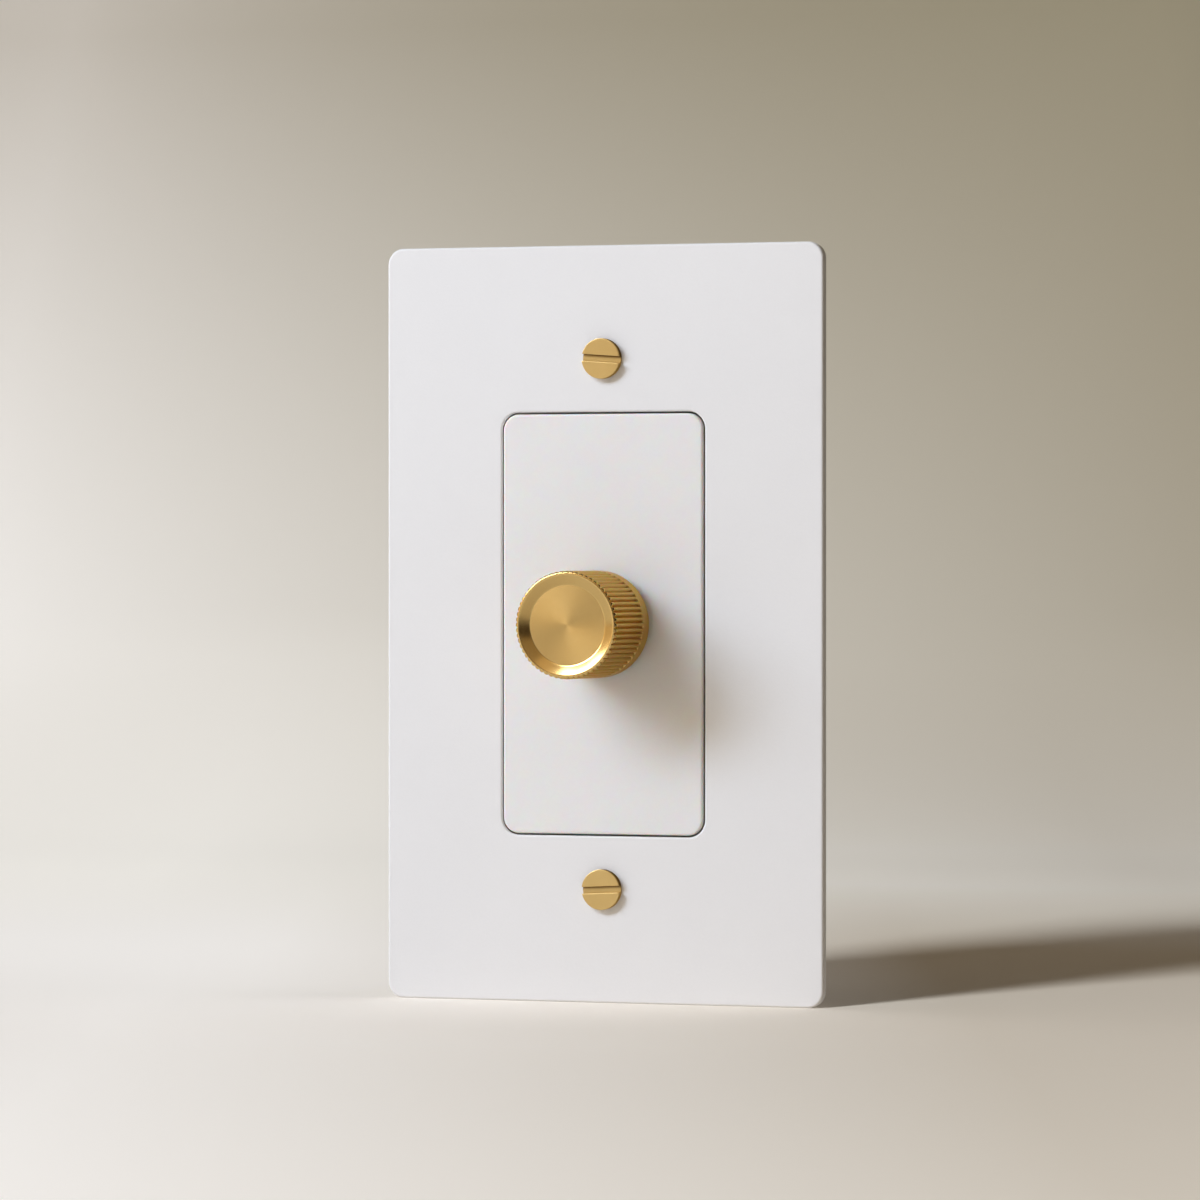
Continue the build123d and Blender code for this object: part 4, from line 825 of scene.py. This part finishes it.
# Painted shade: the knurl is coloured darker towards the bottom of its grooves.
groove_shade = from_axis.ramp((knob_radius - groove_depth) * mm, knob_radius * mm, 1.0, 0.0)
satin = place.noise(5200.0, 3.0)
tone = place.noise(180.0, 3.0)
gold = tone.between((0.56, 0.378, 0.138, 1), (0.62, 0.43, 0.17, 1))
(knurled * groove_shade).between(gold, (0.5, 0.315, 0.12, 1)).feeds(shader, "Base Color")
(0.28 + knurled * satin * 0.08 - front * 0.08 + floor * 0.07).feeds(shader, "Roughness")
piece("knurled_knob", knob_shape, knob_brass, "knob", "turned_brass", "knob")

# Knob grub screw: hardened steel with a hexagon socket, blackened and oiled. It is screwed into the
# knob from below and bears on the flat of the shaft.
black_steel, shader, place = new_finish("black_oxide", Metallic=0.6)
oil = place.noise(1600.0, 4.0)
oil.between((0.012, 0.012, 0.013, 1), (0.04, 0.04, 0.042, 1)).feeds(shader, "Base Color")
(0.34 + oil * 0.2).feeds(shader, "Roughness")
dress(black_steel, "knob_grub_screw")

# Floor and backdrop: one seamless sweep of pale warm paper, flat under the switch and curving up
# gently behind it. The plate stands on its lower edge. The paper's colour is painted palest on the left
# and darker far on the right as painted shade. A painted glow on the floor, seen only by camera, glossy
# and transmission rays, brightens it more on the left and a little less at the plate's foot.
floor_level = plate_low[2]
sweep_start = 450.0
sweep_radius = 1500.0
sweep_turn = np.radians(np.linspace(0, 90, 60))
sweep_half = 3000.0
flat_depth = np.array([-2600.0, -400.0, 0.0])
sweep_depth = np.concatenate([flat_depth, sweep_start + sweep_radius * np.sin(sweep_turn)])
sweep_height = floor_level + np.concatenate([0 * flat_depth, sweep_radius * (1 - np.cos(sweep_turn))])
sweep_across = np.linspace(-sweep_half, sweep_half, 13)
sweep = np.stack(np.broadcast_arrays(sweep_across[None], sweep_depth[:, None], sweep_height[:, None]), -1)
number = np.arange(len(sweep_depth) * len(sweep_across)).reshape(len(sweep_depth), len(sweep_across))
sweep_faces = squares(number).reshape(len(sweep_depth) - 1, len(sweep_across), 4)[:, :-1].reshape(-1, 4)
paper_mesh = bpy.data.meshes.new("paper_sweep")
paper_mesh.from_pydata((sweep.reshape(-1, 3) * mm).tolist(), [], sweep_faces.tolist())
paper_mesh.polygons.foreach_set("use_smooth", np.ones(len(paper_mesh.polygons), bool))
picture_right = (0.935, 0.354, 0.0)
right_of_front = (0.75, -0.66, 0.0)
plate_foot = (0.0, -0.02, floor_level * mm)
paper, shader, place = new_finish("warm_paper", Roughness=0.9, Emission_Strength=1.0)
across = place.along(picture_right)
near_right = across.ramp(-0.075, 0.055)
behind_right = across.ramp(-0.06, 0.055)
far_right = across.ramp(-0.22, 0.2)
past_right = across.ramp(-0.1, 0.12)
out_right = across.ramp(0.2, 0.42)
unlit = out_right + place.along(right_of_front).ramp(0.33, 0.6) * (1 - out_right)
depth = place.axis("Y")
backwards = depth.ramp(0.05, 0.8)
upwards = place.axis("Z").ramp(-0.02, 0.21)
not_far = 1 - depth.ramp(0.5, 0.85)
behind = not_far * depth.ramp(-0.12, 0.14, kind="SMOOTHSTEP")
past_shadow = not_far * depth.ramp(0.15, 0.36)
halvings = across.ramp(-0.205, 0.325, 0.0, 5.0)
fading = 1 - place.node("Math", {0: 0.5, 1: halvings}, operation="POWER")
# Painted shade: the paper's colour darkens towards the right and turns dull brown far out on the right.
near_tone = near_right.between((0.86, 0.82, 0.79, 1), (0.79, 0.714, 0.615, 1))
far_tone = fading.between((0.965, 0.915, 0.855, 1), (0.675, 0.602, 0.45, 1))
high_tone = fading.between((0.995, 0.945, 0.87, 1), (0.5, 0.448, 0.307, 1))
floor_tone = past_shadow.between(backwards.between(near_tone, far_tone), (0.93, 0.875, 0.775, 1))
tone = upwards.between(floor_tone, high_tone)
unlit.between(tone, (0.2, 0.18, 0.15, 1)).feeds(shader, "Base Color")
# Painted light: a glow on the floor, seen only by camera, glossy and transmission rays, paler on the left.
near_glow = near_right.between((0.235, 0.234, 0.228, 1), (0.04, 0.036, 0.028, 1))
far_glow = far_right.between((0.42, 0.43, 0.445, 1), (0.03, 0.032, 0.035, 1))
behind_glow = behind_right.between((0.36, 0.364, 0.367, 1), (0.04, 0.034, 0.025, 1))
past_glow = past_right.between((0.38, 0.39, 0.4, 1), (0.08, 0.083, 0.085, 1))
glow = past_shadow.between(behind.between(backwards.between(near_glow, far_glow), behind_glow), past_glow)
rays = place.node("LightPath", {}).socket.node.outputs
seen = Wire(rays["Is Camera Ray"]) + Wire(rays["Is Glossy Ray"]) + Wire(rays["Is Transmission Ray"])
from_foot = place.node("VectorMath", {0: place, 1: plate_foot}, out="Value", operation="DISTANCE")
at_foot = from_foot.ramp(0.04, 0.075, 0.15, 0.0)
glowing = seen * (1 - upwards) * (1 - unlit) * (1 - at_foot)
glowing.between((0, 0, 0, 1), glow).feeds(shader, "Emission Color")
paper_mesh.materials.append(paper)
paper_sweep = bpy.data.objects.new("paper_sweep", paper_mesh)
bpy.context.scene.collection.objects.link(paper_sweep)


# Studio light: three soft lamps in a slanting row on the left in front, with a wide warm panel round
# them, two warm panels high in front and one lamp behind. A lower lamp lights the paper alone, and
# the brass mirrors a dim warm room that is paler on the left.
def soft_lamp(name, swing, rise, distance, size, energy, colour, paper="EXCLUDE"):
    """A round lamp aimed at the switch from swing degrees left of the front and rise degrees up."""
    lamp = bpy.data.objects.new(name, bpy.data.lights.new(name, "AREA"))
    lamp.data.shape = "DISK"
    lamp.data.size = size
    lamp.data.energy = energy
    lamp.data.color = colour
    swing, rise = np.radians((swing, rise))
    lamp.location = (-distance * np.sin(swing) * np.cos(rise), -distance * np.cos(swing) * np.cos(rise),
                     distance * np.sin(rise))
    lamp.rotation_euler = (-lamp.location).to_track_quat("-Z", "Y").to_euler()
    lamp.visible_camera = False
    receivers = bpy.data.collections.new(name + "_receivers")
    receivers.objects.link(paper_sweep)
    receivers.collection_objects[0].light_linking.link_state = paper
    lamp.light_linking.receiver_collection = receivers
    bpy.context.scene.collection.objects.link(lamp)


daylight = (0.69, 0.81, 1.0)
lamplight = (1.0, 0.79, 0.52)
soft_lamp("left_lamp", 55, 24, 1.2, 0.38, 3.8, daylight)
soft_lamp("middle_lamp", 43, 31, 1.2, 0.38, 5.5, daylight)
soft_lamp("upper_lamp", 31, 39, 1.2, 0.38, 3.8, daylight)
soft_lamp("wide_panel", 43, 30, 1.3, 1.5, 2.5, (1.0, 0.78, 0.5))
soft_lamp("top_panel", 8, 45, 1.2, 0.78, 0.65, lamplight)
soft_lamp("front_panel", -14, 33, 1.2, 1.07, 0.95, lamplight)
soft_lamp("back_lamp", 165, 35, 1.2, 0.6, 4.0, (1.0, 0.9, 0.75))
soft_lamp("paper_lamp", 14, 23, 2.4, 0.5, 72.0, (0.93, 0.965, 1.0), paper="INCLUDE")
world = bpy.data.worlds.new("studio")
bpy.context.scene.world = world
world.use_nodes = True
sky = world.node_tree.nodes["Background"]
way = Wire(world.node_tree.nodes.new("ShaderNodeTexCoord").outputs["Generated"])
pale_side = (-0.9, -0.43, 0.05)
facing = way.along(pale_side).ramp(0.42, 1.0, kind="SMOOTHSTEP")
low_down = way.axis("Z").ramp(0.25, 0.65, 1.0, 0.0, kind="SMOOTHSTEP")
(facing * low_down).between((0.058, 0.042, 0.026, 1), (0.84, 0.66, 0.44, 1)).feeds(sky, "Color")
bpy.context.scene.view_settings.view_transform = "Standard"

# Camera: a long lens about a metre away, to the right of the switch and just above the knob. It looks
# down by less than half a degree, so that the plate's sides stay nearly upright.
camera_swing = 20.704
camera_pan = 0.0243
camera_tilt = 0.3933
camera_distance = 1.01787
camera_height = 0.010772
aim_depth = -0.003
camera = bpy.data.objects.new("camera", bpy.data.cameras.new("camera"))
camera.data.sensor_width = 36.0
camera.data.lens = 194.51
camera.data.clip_start = 0.05
camera.data.clip_end = 20.0
swing = np.radians(camera_swing)
camera.location.x = camera_distance * np.sin(swing)
camera.location.y = aim_depth - camera_distance * np.cos(swing)
camera.location.z = camera_height
camera.rotation_euler = (np.radians(90 - camera_tilt), 0.0, np.radians(camera_swing + camera_pan))
bpy.context.scene.collection.objects.link(camera)
bpy.context.scene.camera = camera
